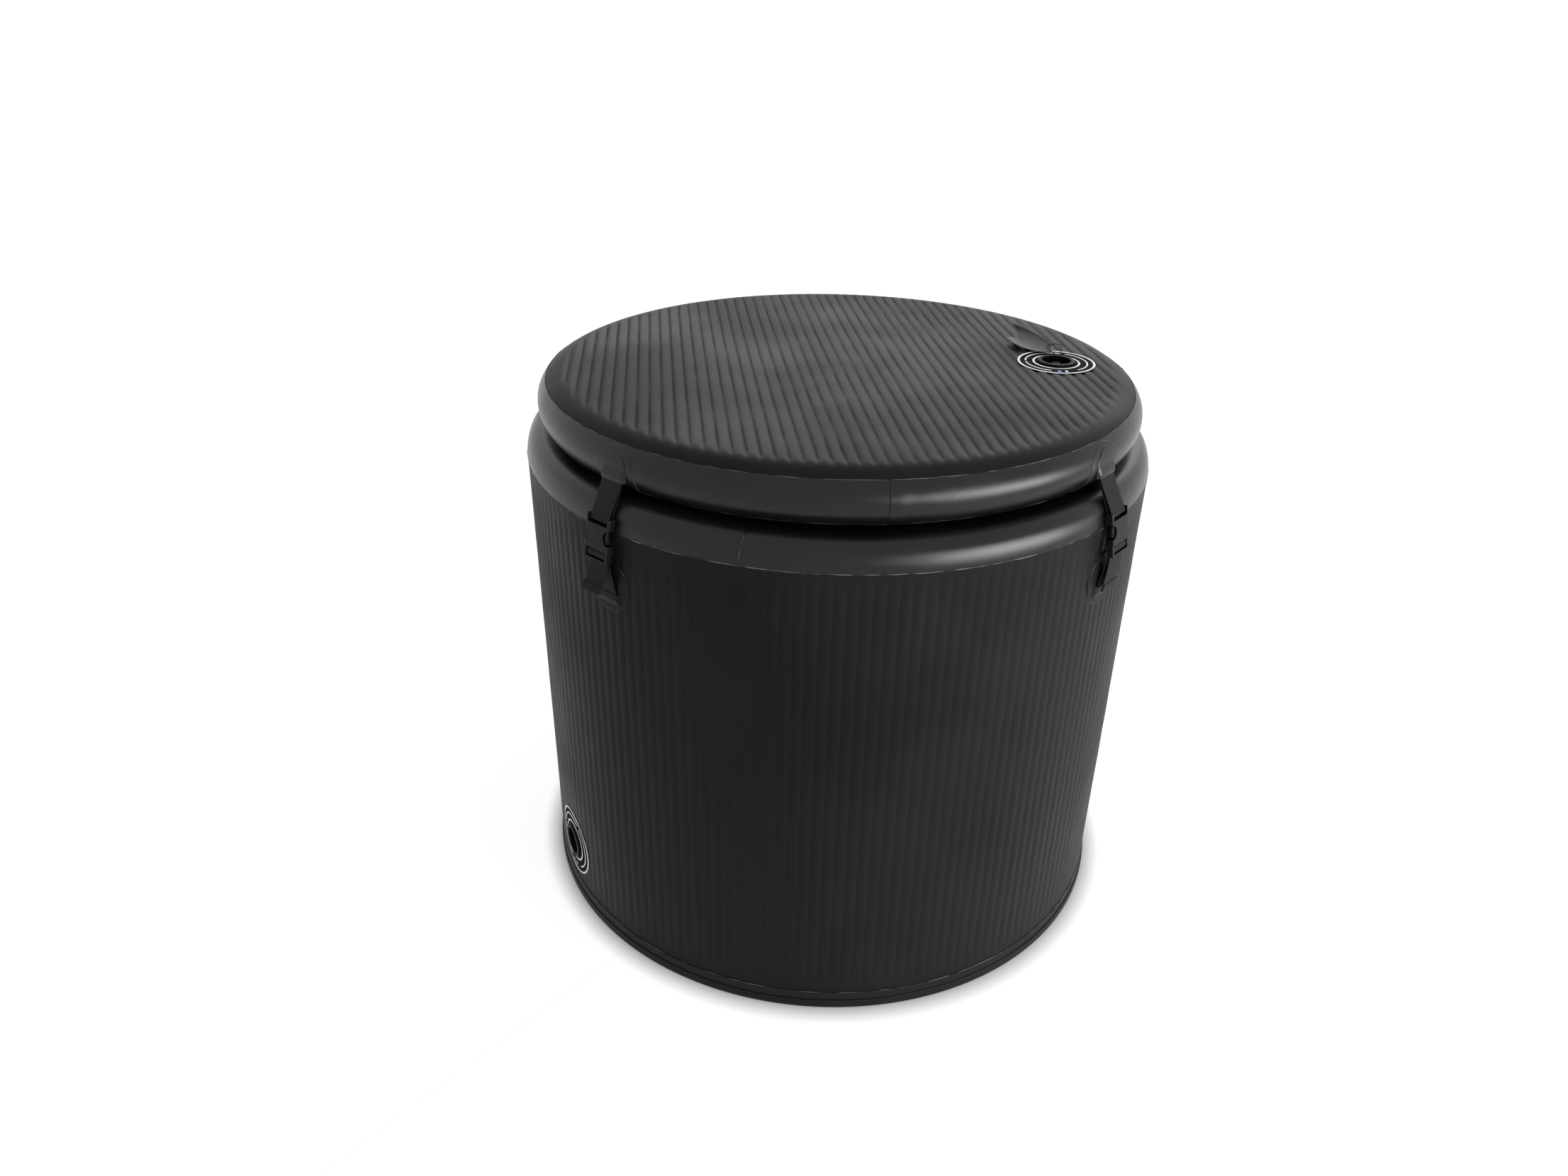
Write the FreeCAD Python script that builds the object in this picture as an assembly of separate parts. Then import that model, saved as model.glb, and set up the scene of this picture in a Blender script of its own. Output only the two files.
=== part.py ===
"""Round inflatable bathtub with an inflatable lid held down by four side-release buckles.

Millimetres, +Z up, origin on the floor at the middle of the tub, front along -Y.
"""
import FreeCAD
import Part
import math
import os

V = FreeCAD.Vector
UP = V(0, 0, 1)
FRONT_ANGLE = -90.0

# Tub wall: two stitched skins held apart by rows of yarn
TUB_RADIUS = 450.0
TUB_HEIGHT = 736.0
WALL_THICKNESS = 90.0
SKIN = 1.2
RIB_COUNT = 180
RIB_DEPTH = 1.5
YARN_WEB = 0.3
YARN_GAP = 0.05
YARN_END = 12.0

# Rim band: a large flank arc, then a tighter shoulder, then a flat top
RIM_SEAM_DROP = 39.0
RIM_FLANK_RADIUS = 60.0
RIM_SHOULDER_RADIUS = 26.0

# Base: closing channel, outer tape, floor sheet with a turned-up lip
BASE_SEAM_Z = 27.0
BASE_CORNER = 9.0
TAPE_THICKNESS = 1.4
FLOOR_THICKNESS = 2.0
FLOOR_LIP_HEIGHT = 13.0
FLOOR_LIP_THICKNESS = 1.8
CORNER_TAPE_WIDTH = 30.0
CORNER_TAPE_THICKNESS = 1.0

# Lid: rounded edge of two arcs that meet at the widest line, set back from the wall
LID_INSET = 20.0
LID_THICKNESS = 75.7
LID_UPPER_ROUND = 40.0
LID_SEAM_ANGLE = 46.0
LID_RIB_PITCH = 16.1
LID_RIB_ANGLE = 2.4
LID_RIB_SINK = 0.7
LID_SEAT_GAP = 0.3

# Webbing and its welded patches
STRAP_WIDTH = 34.0
STRAP_THICKNESS = 1.5
STRAP_GAP = 0.2
STRAP_WRAP_STEPS = 7
PATCH_THICKNESS = 0.8
LID_PATCH_WIDTH = 68.0
LID_PATCH_BELOW = 24.0
LID_PATCH_ABOVE = 27.0
LID_POCKET_WIDTH = 50.0
LID_POCKET_BELOW = 16.0
LID_POCKET_ABOVE = 22.0
LID_STRAP_ABOVE = 13.5
WALL_PATCH_DIAMETER = 75.0
WALL_PATCH_BELOW_RIM = 115.0
WALL_POCKET_WIDTH = 46.0
WALL_POCKET_HEIGHT = 18.0
WALL_POCKET_DROP = 26.0
WALL_POCKET_SEAM = 5.0

# Side-release buckle
BUCKLE_ANGLES = {"front_left": -135.0, "front_right": -45.0, "back_right": 45.0, "back_left": 135.0}
BUCKLE_BELOW_RIM = 77.0
BUCKLE_STAND_OFF = 9.5
BUCKLE_LEAN = 11.5
BUCKLE_WIDTH = 42.0
BUCKLE_THICKNESS = 11.0
BUCKLE_ROUND = 1.6
SOCKET_LENGTH = 37.8
SOCKET_WALL = 1.8
SOCKET_CAVITY_HEIGHT = 25.0
SOCKET_SIDE = 1.8
WINDOW_RADIUS = 9.5
WINDOW_HEIGHT = 13.3
SLOT_HEIGHT = 4.2
BAR_RADIUS = 1.9
BAR_DROP = 4.2
FLANGE_HEIGHT = 4.5
UPPER_SLOT = 2.6
MIDDLE_BAR = 6.6
LOWER_SLOT = 3.4
BOTTOM_BAR = 2.6
RAIL_WIDTH = 3.4
BAR_DEPTH = 3.0
TONGUE_WIDTH = 7.0
TONGUE_HEIGHT = 20.0
PRONG_HEIGHT = 23.0
PRONG_ARM = 3.4
PRONG_DEPTH = 6.6
PRONG_ROOT_X = 10.0
PRONG_ROOT_RADIUS = 1.8
PRONG_FIT = 0.05
PRONG_PAD_HEIGHT = 14.0
PRONG_PAD_INSET = 0.4
PRONG_TIP_NARROWING = 2.5
TAIL_HEM = 10.0
HEM_OVERLAP = 0.98

# Loose strap tails: how far each stands out at its end, and how far it hangs
TAIL_REACHES = {"front_left": 17.0, "front_right": -4.0, "back_right": 8.0, "back_left": 2.0}
TAIL_DROPS = {"front_left": 34.0, "front_right": 48.0, "back_right": 42.0, "back_left": 40.0}
TAIL_BEND = 0.3

# Air valves
LID_VALVE_INSET = 113.0
LID_VALVE_ANGLE = -2.2
WALL_VALVE_Z = 95.0
WALL_VALVE_ANGLE = -155.7
LABEL_DIAMETER = 112.0
LABEL_THICKNESS = 0.4
THROAT_DIAMETER = 42.0
THROAT_WALL = 2.0
COLLAR_DIAMETER = 54.0
COLLAR_HEIGHT = 3.0
COLLAR_ROUND = 1.2
VALVE_DEPTH = 26.0
VALVE_SEAT = 2.0
VALVE_SEAT_BORE = 28.0
VALVE_FIT = 0.2
NUT_DIAMETER = 60.0
NUT_HEIGHT = 6.0
HUB_RADIUS = 5.5
HUB_HEIGHT = 3.0
HUB_DEPTH = 17.0
SPIDER_ARM = 2.4
STEM_RADIUS = 2.5
STEM_FIT = 0.05
STEM_HEAD_RADIUS = 6.5
STEM_HEAD_HEIGHT = 2.0
STEM_HEAD_DEPTH = 2.0
POPPET_RADIUS = 17.0
POPPET_HEIGHT = 3.0
SEAL_THICKNESS = 2.0
SEAL_BORE = 20.0
SPRING_RADIUS = 4.4
SPRING_WIRE = 1.0
SPRING_TURNS = 4

# Drain through the back of the wall
DRAIN_ANGLE = 90.0
DRAIN_Z = 62.0
DRAIN_BORE = 26.0
DRAIN_WALL = 3.0
DRAIN_FLANGE_DIAMETER = 60.0
DRAIN_FLANGE = 3.0
DRAIN_SPIGOT = 16.0
DRAIN_CAP_WALL = 3.5
DRAIN_CAP_FIT = 0.4
DRAIN_CAP_GRIPS = 12
DRAIN_SEAL = 1.6
STRAINER_THICKNESS = 3.0
STRAINER_DIAMETER = 56.0
STRAINER_HOLE = 6.0

# Curled tag tied to the lid valve: the arcs across its two ends, from the valve's middle on the lid
TAG_NEAR_END = ((-14.0, 40.0, 3.6), (4.0, 45.5, 3.6), (6.7, 58.0, 12.0))
TAG_FAR_END = ((-52.0, 95.0, 8.0), (-26.5, 126.0, 4.5), (-31.0, 146.0, 19.0))
TAG_THICKNESS = 0.8
TAG_HOLE_DIAMETER = 3.6
CORD_DIAMETER = 1.2

# Places worked out from the sizes above
RIM_SEAM_Z = TUB_HEIGHT - RIM_SEAM_DROP
LID_RADIUS = TUB_RADIUS - LID_INSET
LID_VALVE_RADIUS = LID_RADIUS - LID_VALVE_INSET
WALL_PATCH_Z = TUB_HEIGHT - WALL_PATCH_BELOW_RIM
BUCKLE_BOTTOM_Z = TUB_HEIGHT - BUCKLE_BELOW_RIM
LID_BOTTOM = TUB_HEIGHT + LID_SEAT_GAP
LID_TOP = LID_BOTTOM + LID_THICKNESS
LID_MIDDLE_Z = LID_TOP - LID_UPPER_ROUND
LID_LOWER_ROUND = LID_THICKNESS - LID_UPPER_ROUND
INNER_RADIUS = TUB_RADIUS - WALL_THICKNESS
OUTER_CAVITY = TUB_RADIUS - RIB_DEPTH - SKIN
INNER_CAVITY = INNER_RADIUS + RIB_DEPTH + SKIN
BUCKLE_BACK = TUB_RADIUS + BUCKLE_STAND_OFF
BUCKLE_MIDDLE = BUCKLE_BACK + BUCKLE_THICKNESS / 2
BUCKLE_FRONT = BUCKLE_BACK + BUCKLE_THICKNESS
LADDER_HEIGHT = UPPER_SLOT + MIDDLE_BAR + LOWER_SLOT + BOTTOM_BAR
FLANGE_Z = BUCKLE_BOTTOM_Z + LADDER_HEIGHT
SOCKET_Z = FLANGE_Z + FLANGE_HEIGHT
BUCKLE_TOP_Z = SOCKET_Z + SOCKET_LENGTH
BAR_Z = BUCKLE_TOP_Z - BAR_DROP
OVERSIZE = 5.0

os.makedirs("parts", exist_ok=True)


def save(name, shape):
    """Writes one node and reports its solids and volume."""
    shape.exportStep("parts/" + name + ".step")
    print(name, len(shape.Solids), "solids", round(shape.Volume), "mm3", shape.isValid())


def polar(radius, angle, z=0.0):
    turn = math.radians(angle)
    return V(radius * math.cos(turn), radius * math.sin(turn), z)


def leaning(shape):
    """A copy of an upright buckle piece at the front, leaned in about its lower back edge."""
    copy = shape.copy()
    copy.rotate(V(0, -BUCKLE_BACK, BUCKLE_BOTTOM_Z), V(1, 0, 0), -BUCKLE_LEAN)
    return copy


def turned(shape, angle):
    """A copy of a shape made at the front, carried round to another angle."""
    copy = shape.copy()
    copy.rotate(V(0, 0, 0), UP, angle - FRONT_ANGLE)
    return copy


def box(x0, x1, y0, y1, z0, z1):
    return Part.makeBox(x1 - x0, y1 - y0, z1 - z0, V(x0, y0, z0))


def disc(radius, z0, z1, centre=(0.0, 0.0)):
    return Part.makeCylinder(radius, z1 - z0, V(centre[0], centre[1], z0))


def ring(outer, inner, z0, z1):
    return disc(outer, z0, z1).cut(disc(inner, z0, z1))


def arc_point(centre, radius, angle):
    """A point of a profile in the XZ plane, at an angle above the horizontal."""
    turn = math.radians(angle)
    return V(centre[0] + radius * math.cos(turn), 0, centre[1] + radius * math.sin(turn))


def arc_edge(centre, radius, start, end):
    middle = (start + end) / 2
    points = [arc_point(centre, radius, a) for a in (start, middle, end)]
    return Part.Arc(*points).toShape()


def line_edge(start, end):
    return Part.LineSegment(start, end).toShape()


def revolved(edges, angle=360.0):
    """Turns a closed profile of XZ edges about the tub's axis."""
    wire = Part.Wire(Part.__sortEdges__(edges))
    return Part.Face(wire).revolve(V(0, 0, 0), UP, angle)


def scalloped_wire(groove, crown, count):
    """A closed wire of arcs that swell from groove to crown and back."""
    step = 360.0 / count
    edges = []
    for index in range(count):
        angle = index * step
        start = polar(groove, angle)
        middle = polar(crown, angle + step / 2)
        end = polar(groove, angle + step)
        edges.append(Part.Arc(start, middle, end).toShape())
    return Part.Wire(edges)


def ribbon(points, thickness, width):
    """Webbing along a path of (radius, height) points, made at the front."""
    paths = [V(r, z, 0) for r, z in points]
    sides = ([], [])
    for index, here in enumerate(paths):
        before = paths[max(index - 1, 0)]
        after = paths[min(index + 1, len(paths) - 1)]
        arriving = (here - before) if index else (after - here)
        leaving = (after - here) if index < len(paths) - 1 else arriving
        arriving.normalize()
        leaving.normalize()
        normal = V(-arriving.y - leaving.y, arriving.x + leaving.x, 0)
        normal.normalize()
        spread = thickness / 2 / max(normal.dot(V(-leaving.y, leaving.x, 0)), 0.3)
        sides[0].append(here + normal * spread)
        sides[1].append(here - normal * spread)
    outline = sides[0] + sides[1][::-1]
    corners = [V(-width / 2, -p.x, p.y) for p in outline]
    face = Part.Face(Part.makePolygon(corners + corners[:1]))
    return face.extrude(V(width, 0, 0))


# Valve and drain positions, each with its axis pointing out of the part
LID_VALVE_PLACE = FreeCAD.Placement(
    polar(LID_VALVE_RADIUS, LID_VALVE_ANGLE, LID_TOP + LABEL_THICKNESS), FreeCAD.Rotation())


def wall_place(angle, z, stand_off):
    """A placement on the outer wall whose own Z points straight out."""
    out = polar(1, angle)
    return FreeCAD.Placement(polar(TUB_RADIUS + stand_off, angle, z), FreeCAD.Rotation(UP, out))


WALL_VALVE_PLACE = wall_place(WALL_VALVE_ANGLE, WALL_VALVE_Z, LABEL_THICKNESS)
DRAIN_PLACE = wall_place(DRAIN_ANGLE, DRAIN_Z, 0.0)
VALVE_OUTER = THROAT_DIAMETER / 2 + THROAT_WALL
DRAIN_OUTER = DRAIN_BORE / 2 + DRAIN_WALL


def bore_at(place, radius, depth):
    """A cutting rod along a fitting's axis, from well outside to a depth inside."""
    rod = Part.makeCylinder(radius, depth + COLLAR_DIAMETER, V(0, 0, -depth))
    rod.Placement = place
    return rod


def chamber_clear(place, radius):
    """A cutting rod that reaches from the outside through the whole air chamber."""
    return bore_at(place, radius, WALL_THICKNESS - RIB_DEPTH - SKIN)


WALL_VALVE_HOLE = bore_at(WALL_VALVE_PLACE, VALVE_OUTER + VALVE_FIT, WALL_THICKNESS / 2)
LID_VALVE_HOLE = bore_at(LID_VALVE_PLACE, VALVE_OUTER + VALVE_FIT, LID_THICKNESS / 2)
DRAIN_HOLE = bore_at(DRAIN_PLACE, DRAIN_OUTER + VALVE_FIT, WALL_THICKNESS + OVERSIZE)


# Tub
def ribbed_tube(groove, crown, outward):
    """A ribbed sheet of even thickness, as tall as the stitched part of the wall; outward is +1 or -1."""
    faces = [Part.Face(scalloped_wire(groove - outward * depth, crown - outward * depth, RIB_COUNT))
             for depth in (0.0, SKIN)]
    outside, inside = faces[::outward]
    tube = outside.cut(inside).extrude(V(0, 0, RIM_SEAM_Z - BASE_SEAM_Z))
    tube.translate(V(0, 0, BASE_SEAM_Z))
    return tube


def tub_outer_skin():
    return ribbed_tube(TUB_RADIUS - RIB_DEPTH, TUB_RADIUS, 1).cut(WALL_VALVE_HOLE).cut(DRAIN_HOLE)


def tub_inner_skin():
    return ribbed_tube(INNER_RADIUS + RIB_DEPTH, INNER_RADIUS, -1).cut(DRAIN_HOLE)


def wall_yarn_rows():
    """One thin curtain of yarn behind each groove, cut short round the fittings."""
    start = INNER_CAVITY + YARN_GAP
    end = OUTER_CAVITY - YARN_GAP
    low = BASE_SEAM_Z + YARN_END
    high = RIM_SEAM_Z - YARN_END
    valve_clear = chamber_clear(WALL_VALVE_PLACE, NUT_DIAMETER / 2 + YARN_END)
    drain_clear = chamber_clear(DRAIN_PLACE, DRAIN_FLANGE_DIAMETER / 2)
    rows = []
    for index in range(RIB_COUNT):
        row = box(start, end, -YARN_WEB / 2, YARN_WEB / 2, low, high)
        row.rotate(V(0, 0, 0), UP, index * 360.0 / RIB_COUNT)
        for clear in (valve_clear, drain_clear):
            if row.BoundBox.intersect(clear.BoundBox):
                row = row.cut(clear)
        rows.extend(row.Solids)
    return Part.makeCompound(rows)


def rim_turn():
    """The angle at which the flank arc hands over to the shoulder arc."""
    rise = TUB_HEIGHT - RIM_SEAM_Z
    return math.asin((rise - RIM_SHOULDER_RADIUS) / (RIM_FLANK_RADIUS - RIM_SHOULDER_RADIUS))


def rim_edges(wall_outside, inset):
    """The outer half of the rim's profile, from the seam up to the flat top."""
    turn = math.degrees(rim_turn())
    flank_centre = (wall_outside - RIM_FLANK_RADIUS, RIM_SEAM_Z)
    gap = RIM_FLANK_RADIUS - RIM_SHOULDER_RADIUS
    shoulder_centre = (flank_centre[0] + gap * math.cos(rim_turn()),
                       flank_centre[1] + gap * math.sin(rim_turn()))
    flank = arc_edge(flank_centre, RIM_FLANK_RADIUS - inset, 0, turn)
    shoulder = arc_edge(shoulder_centre, RIM_SHOULDER_RADIUS - inset, turn, 90)
    return flank, shoulder, shoulder_centre[0]


def mirrored(edge):
    """An edge of the outer half, mirrored to the inner half of the wall's section."""
    middle = (TUB_RADIUS + INNER_RADIUS) / 2
    return edge.mirror(V(middle, 0, 0), V(1, 0, 0))


def rim_band():
    middle = (TUB_RADIUS + INNER_RADIUS) / 2
    edges = []
    for inset in (0.0, SKIN):
        flank, shoulder, top_radius = rim_edges(TUB_RADIUS, inset)
        top = line_edge(V(top_radius, 0, TUB_HEIGHT - inset),
                        V(2 * middle - top_radius, 0, TUB_HEIGHT - inset))
        edges += [flank, shoulder, top, mirrored(flank), mirrored(shoulder)]
    for outside in (TUB_RADIUS, INNER_RADIUS + SKIN):
        edges.append(line_edge(V(outside, 0, RIM_SEAM_Z), V(outside - SKIN, 0, RIM_SEAM_Z)))
    return revolved(edges)


def base_band():
    """The channel that closes the wall's air chamber at the floor."""
    low = FLOOR_THICKNESS
    outside = TUB_RADIUS
    edges = []
    for inset in (0.0, SKIN):
        corner = (outside - BASE_CORNER, low + BASE_CORNER)
        bend = arc_edge(corner, BASE_CORNER - inset, -90, 0)
        side = line_edge(V(outside - inset, 0, low + BASE_CORNER), V(outside - inset, 0, BASE_SEAM_Z))
        bottom = line_edge(V(outside - BASE_CORNER, 0, low + inset),
                           V(INNER_RADIUS + BASE_CORNER, 0, low + inset))
        edges += [bend, side, bottom, mirrored(bend), mirrored(side)]
    for edge_radius in (outside, INNER_RADIUS + SKIN):
        edges.append(line_edge(V(edge_radius, 0, BASE_SEAM_Z), V(edge_radius - SKIN, 0, BASE_SEAM_Z)))
    return revolved(edges)


def base_tape():
    return ring(TUB_RADIUS + TAPE_THICKNESS, TUB_RADIUS, FLOOR_THICKNESS, BASE_SEAM_Z)


def floor_sheet():
    inside = TUB_RADIUS + TAPE_THICKNESS
    lip = ring(inside + FLOOR_LIP_THICKNESS, inside, 0, FLOOR_LIP_HEIGHT)
    return disc(inside, 0, FLOOR_THICKNESS).fuse(lip).removeSplitter()


def corner_tape():
    """The tape welded inside the tub over the corner of wall and floor."""
    outer = INNER_RADIUS
    inner = outer - CORNER_TAPE_THICKNESS
    upright = ring(outer, inner, FLOOR_THICKNESS, CORNER_TAPE_WIDTH)
    flat = ring(inner, outer - CORNER_TAPE_WIDTH, FLOOR_THICKNESS, FLOOR_THICKNESS + CORNER_TAPE_THICKNESS)
    return upright.fuse(flat).removeSplitter()


# Lid
def lid_upper_centre():
    return (LID_RADIUS - LID_UPPER_ROUND, LID_MIDDLE_Z)


def lid_lower_centre():
    return (LID_RADIUS - LID_LOWER_ROUND, LID_MIDDLE_Z)


def ribbed_plate(level, outward, radius):
    """A round sheet whose outer face has straight ribs; outward is +1 for up, -1 for down."""
    half = math.ceil(radius / LID_RIB_PITCH)
    groove = level - outward * RIB_DEPTH
    back = groove - outward * SKIN
    edges = []
    for index in range(-half, half):
        start = index * LID_RIB_PITCH
        middle, end = start + LID_RIB_PITCH / 2, start + LID_RIB_PITCH
        edges.append(Part.Arc(V(start, 0, groove), V(middle, 0, level), V(end, 0, groove)).toShape())
    ends = (-half * LID_RIB_PITCH, half * LID_RIB_PITCH)
    edges.append(line_edge(V(ends[1], 0, groove), V(ends[1], 0, back)))
    edges.append(line_edge(V(ends[1], 0, back), V(ends[0], 0, back)))
    edges.append(line_edge(V(ends[0], 0, back), V(ends[0], 0, groove)))
    plate = Part.Face(Part.Wire(edges)).extrude(V(0, 2 * (radius + OVERSIZE), 0))
    plate.translate(V(0, -radius - OVERSIZE, 0))
    plate.rotate(V(0, 0, 0), UP, LID_RIB_ANGLE)
    return plate.common(disc(radius, min(level, back) - OVERSIZE, max(level, back) + OVERSIZE))


def lid_margin(centre, round_radius, outward):
    """The smooth rolled margin between a ribbed sheet and the edge band's seam."""
    outer = round_radius - LID_RIB_SINK
    inner = outer - SKIN
    start = outward * 90.0
    end = outward * LID_SEAM_ANGLE
    land = centre[0] - OVERSIZE
    edges = [arc_edge(centre, outer, start, end), arc_edge(centre, inner, start, end)]
    edges.append(line_edge(arc_point(centre, outer, end), arc_point(centre, inner, end)))
    top = arc_point(centre, outer, start)
    under = arc_point(centre, inner, start)
    edges.append(line_edge(top, V(land, 0, top.z)))
    edges.append(line_edge(V(land, 0, top.z), V(land, 0, under.z)))
    edges.append(line_edge(V(land, 0, under.z), under))
    return revolved(edges)


def lid_skin(level, outward, centre, round_radius):
    sheet = ribbed_plate(level, outward, centre[0])
    return sheet.fuse(lid_margin(centre, round_radius, outward))


def lid_top_skin():
    return lid_skin(LID_TOP, 1, lid_upper_centre(), LID_UPPER_ROUND).cut(LID_VALVE_HOLE)


def lid_bottom_skin():
    return lid_skin(LID_BOTTOM, -1, lid_lower_centre(), LID_LOWER_ROUND)


def lid_edge_band():
    edges = []
    upper, lower = lid_upper_centre(), lid_lower_centre()
    for inset in (0.0, SKIN):
        edges.append(arc_edge(upper, LID_UPPER_ROUND - inset, LID_SEAM_ANGLE, 0))
        edges.append(arc_edge(lower, LID_LOWER_ROUND - inset, 0, -LID_SEAM_ANGLE))
    for centre, radius, angle in ((upper, LID_UPPER_ROUND, LID_SEAM_ANGLE),
                                  (lower, LID_LOWER_ROUND, -LID_SEAM_ANGLE)):
        edges.append(line_edge(arc_point(centre, radius, angle), arc_point(centre, radius - SKIN, angle)))
    return revolved(edges)


def lid_yarn_rows():
    """One thin curtain of yarn under each groove of the lid."""
    reach = lid_upper_centre()[0] - YARN_END
    low = LID_BOTTOM + RIB_DEPTH + SKIN + YARN_GAP
    high = LID_TOP - RIB_DEPTH - SKIN - YARN_GAP
    clear = disc(NUT_DIAMETER / 2 + YARN_END, low - OVERSIZE, high + OVERSIZE,
                 polar(LID_VALVE_RADIUS, LID_VALVE_ANGLE)[:2])
    half = int(reach / LID_RIB_PITCH)
    rows = []
    for index in range(-half, half + 1):
        across = index * LID_RIB_PITCH
        run = math.sqrt(reach ** 2 - across ** 2)
        row = box(across - YARN_WEB / 2, across + YARN_WEB / 2, -run, run, low, high)
        row.rotate(V(0, 0, 0), UP, LID_RIB_ANGLE)
        rows.extend(row.cut(clear).Solids)
    return Part.makeCompound(rows)


# Welded patches
def strap_bow(radius):
    """How far the edges of a flat strap stand off a round surface that its middle touches."""
    return STRAP_WIDTH ** 2 / (8 * radius)


def arch_prism(width, low, high):
    """An arch-topped outline pushed through the band at the front."""
    half = width / 2
    spring_line = high - half
    reach = LID_RADIUS + BUCKLE_THICKNESS
    corners = [V(-half, -reach, low), V(half, -reach, low), V(half, -reach, spring_line)]
    edges = [line_edge(corners[0], corners[1]), line_edge(corners[1], corners[2])]
    edges.append(Part.Arc(corners[2], V(0, -reach, high), V(-half, -reach, spring_line)).toShape())
    edges.append(line_edge(V(-half, -reach, spring_line), corners[0]))
    return Part.Face(Part.Wire(edges)).extrude(V(0, LID_UPPER_ROUND + BUCKLE_THICKNESS, 0))


def band_body(lift, hanging=False):
    """The lid's edge as a solid ring, its band lifted; hanging keeps it straight below its widest line."""
    upper, lower = lid_upper_centre(), lid_lower_centre()
    top = arc_point(upper, LID_UPPER_ROUND + lift, 90)
    widest = arc_point(upper, LID_UPPER_ROUND + lift, 0)
    edges = [arc_edge(upper, LID_UPPER_ROUND + lift, 90, 0)]
    low = V(widest.x, 0, LID_BOTTOM - lift)
    if hanging:
        edges.append(line_edge(widest, low))
    else:
        edges.append(arc_edge(lower, LID_LOWER_ROUND + lift, 0, -90))
        low = arc_point(lower, LID_LOWER_ROUND + lift, -90)
    inside = lower[0] - LID_UPPER_ROUND
    corners = [low, V(inside, 0, low.z), V(inside, 0, top.z), top]
    edges += [line_edge(first, second) for first, second in zip(corners, corners[1:])]
    return revolved(edges)


def lid_base_patch():
    outline = arch_prism(LID_PATCH_WIDTH, LID_MIDDLE_Z - LID_PATCH_BELOW, LID_MIDDLE_Z + LID_PATCH_ABOVE)
    return band_body(PATCH_THICKNESS).cut(band_body(0.0)).common(outline)


def leaned(radius, z):
    """Where a point of the upright buckle goes when its top leans in over the rim."""
    turn = math.radians(BUCKLE_LEAN)
    across, rise = radius - BUCKLE_BACK, z - BUCKLE_BOTTOM_Z
    return (BUCKLE_BACK + across * math.cos(turn) - rise * math.sin(turn),
            BUCKLE_BOTTOM_Z + across * math.sin(turn) + rise * math.cos(turn))


def lid_strap_path():
    """The doubled strap: out of the pocket, round the socket's bar and back."""
    inner = PATCH_THICKNESS + STRAP_GAP + STRAP_THICKNESS / 2
    layer = STRAP_THICKNESS + STRAP_GAP
    bar = leaned(BUCKLE_MIDDLE, BAR_Z)
    exit_z = LID_MIDDLE_Z - LID_POCKET_BELOW
    slant = math.atan2(bar[0] - LID_RADIUS - inner, exit_z - bar[1])

    def sewn_layer(lift, drop):
        sewn_end = math.degrees(math.asin(LID_STRAP_ABOVE / LID_UPPER_ROUND))
        shares = [1 - step / STRAP_WRAP_STEPS for step in range(STRAP_WRAP_STEPS + 1)]
        curve = [arc_point(lid_upper_centre(), LID_UPPER_ROUND + lift, sewn_end * share) for share in shares]
        return [(point.x, point.z) for point in curve] + [(LID_RADIUS + lift, exit_z - drop)]

    down = sewn_layer(inner + layer, 0.0)
    back = sewn_layer(inner, layer * math.tan(slant / 2))
    start = bar_tangent(bar, down[-1], -1)
    end = bar_tangent(bar, back[-1], 1) - 360
    steps = [start + (end - start) * step / STRAP_WRAP_STEPS for step in range(STRAP_WRAP_STEPS + 1)]
    return down + [bar_wrap(bar, angle) for angle in steps] + back[::-1]


def bar_wrap(bar, angle):
    """A point of the strap's middle line where it goes round the socket's bar."""
    wrap = BAR_RADIUS + STRAP_GAP + STRAP_THICKNESS / 2
    turn = math.radians(angle)
    return (bar[0] + wrap * math.cos(turn), bar[1] + wrap * math.sin(turn))


def bar_tangent(bar, point, side):
    """The angle at which a straight run from a point first meets the wrap round the bar."""
    wrap = BAR_RADIUS + STRAP_GAP + STRAP_THICKNESS / 2
    across, rise = point[0] - bar[0], point[1] - bar[1]
    opening = math.acos(wrap / math.hypot(across, rise))
    return math.degrees(math.atan2(rise, across) + side * opening)


def lid_strap():
    return ribbon(lid_strap_path(), STRAP_THICKNESS, STRAP_WIDTH)


def lid_pocket_patch():
    """The smaller arch that covers the strap's sewn end on the lid."""
    stack = PATCH_THICKNESS + 2 * STRAP_THICKNESS + 3 * STRAP_GAP + strap_bow(LID_RADIUS)
    outline = arch_prism(LID_POCKET_WIDTH, LID_MIDDLE_Z - LID_POCKET_BELOW + STRAP_THICKNESS,
                         LID_MIDDLE_Z + LID_POCKET_ABOVE)
    half = STRAP_WIDTH / 2 + STRAP_GAP
    sewn_top = LID_STRAP_ABOVE * (LID_UPPER_ROUND + stack) / LID_UPPER_ROUND
    strap_room = box(-half, half, -2 * LID_RADIUS, 0, LID_BOTTOM, LID_MIDDLE_Z + sewn_top + STRAP_GAP)
    cover = band_body(stack + PATCH_THICKNESS, hanging=True).common(outline)
    return cover.cut(band_body(stack, hanging=True).common(strap_room)).cut(band_body(PATCH_THICKNESS))


def wall_base_patch():
    plate = ring(TUB_RADIUS + PATCH_THICKNESS, TUB_RADIUS, WALL_PATCH_Z - WALL_PATCH_DIAMETER,
                 WALL_PATCH_Z + WALL_PATCH_DIAMETER)
    outline = Part.makeCylinder(WALL_PATCH_DIAMETER / 2, 2 * TUB_RADIUS, V(0, 0, WALL_PATCH_Z), V(0, -1, 0))
    return plate.common(outline)


def wall_pocket_low():
    return WALL_PATCH_Z - WALL_POCKET_DROP


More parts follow.
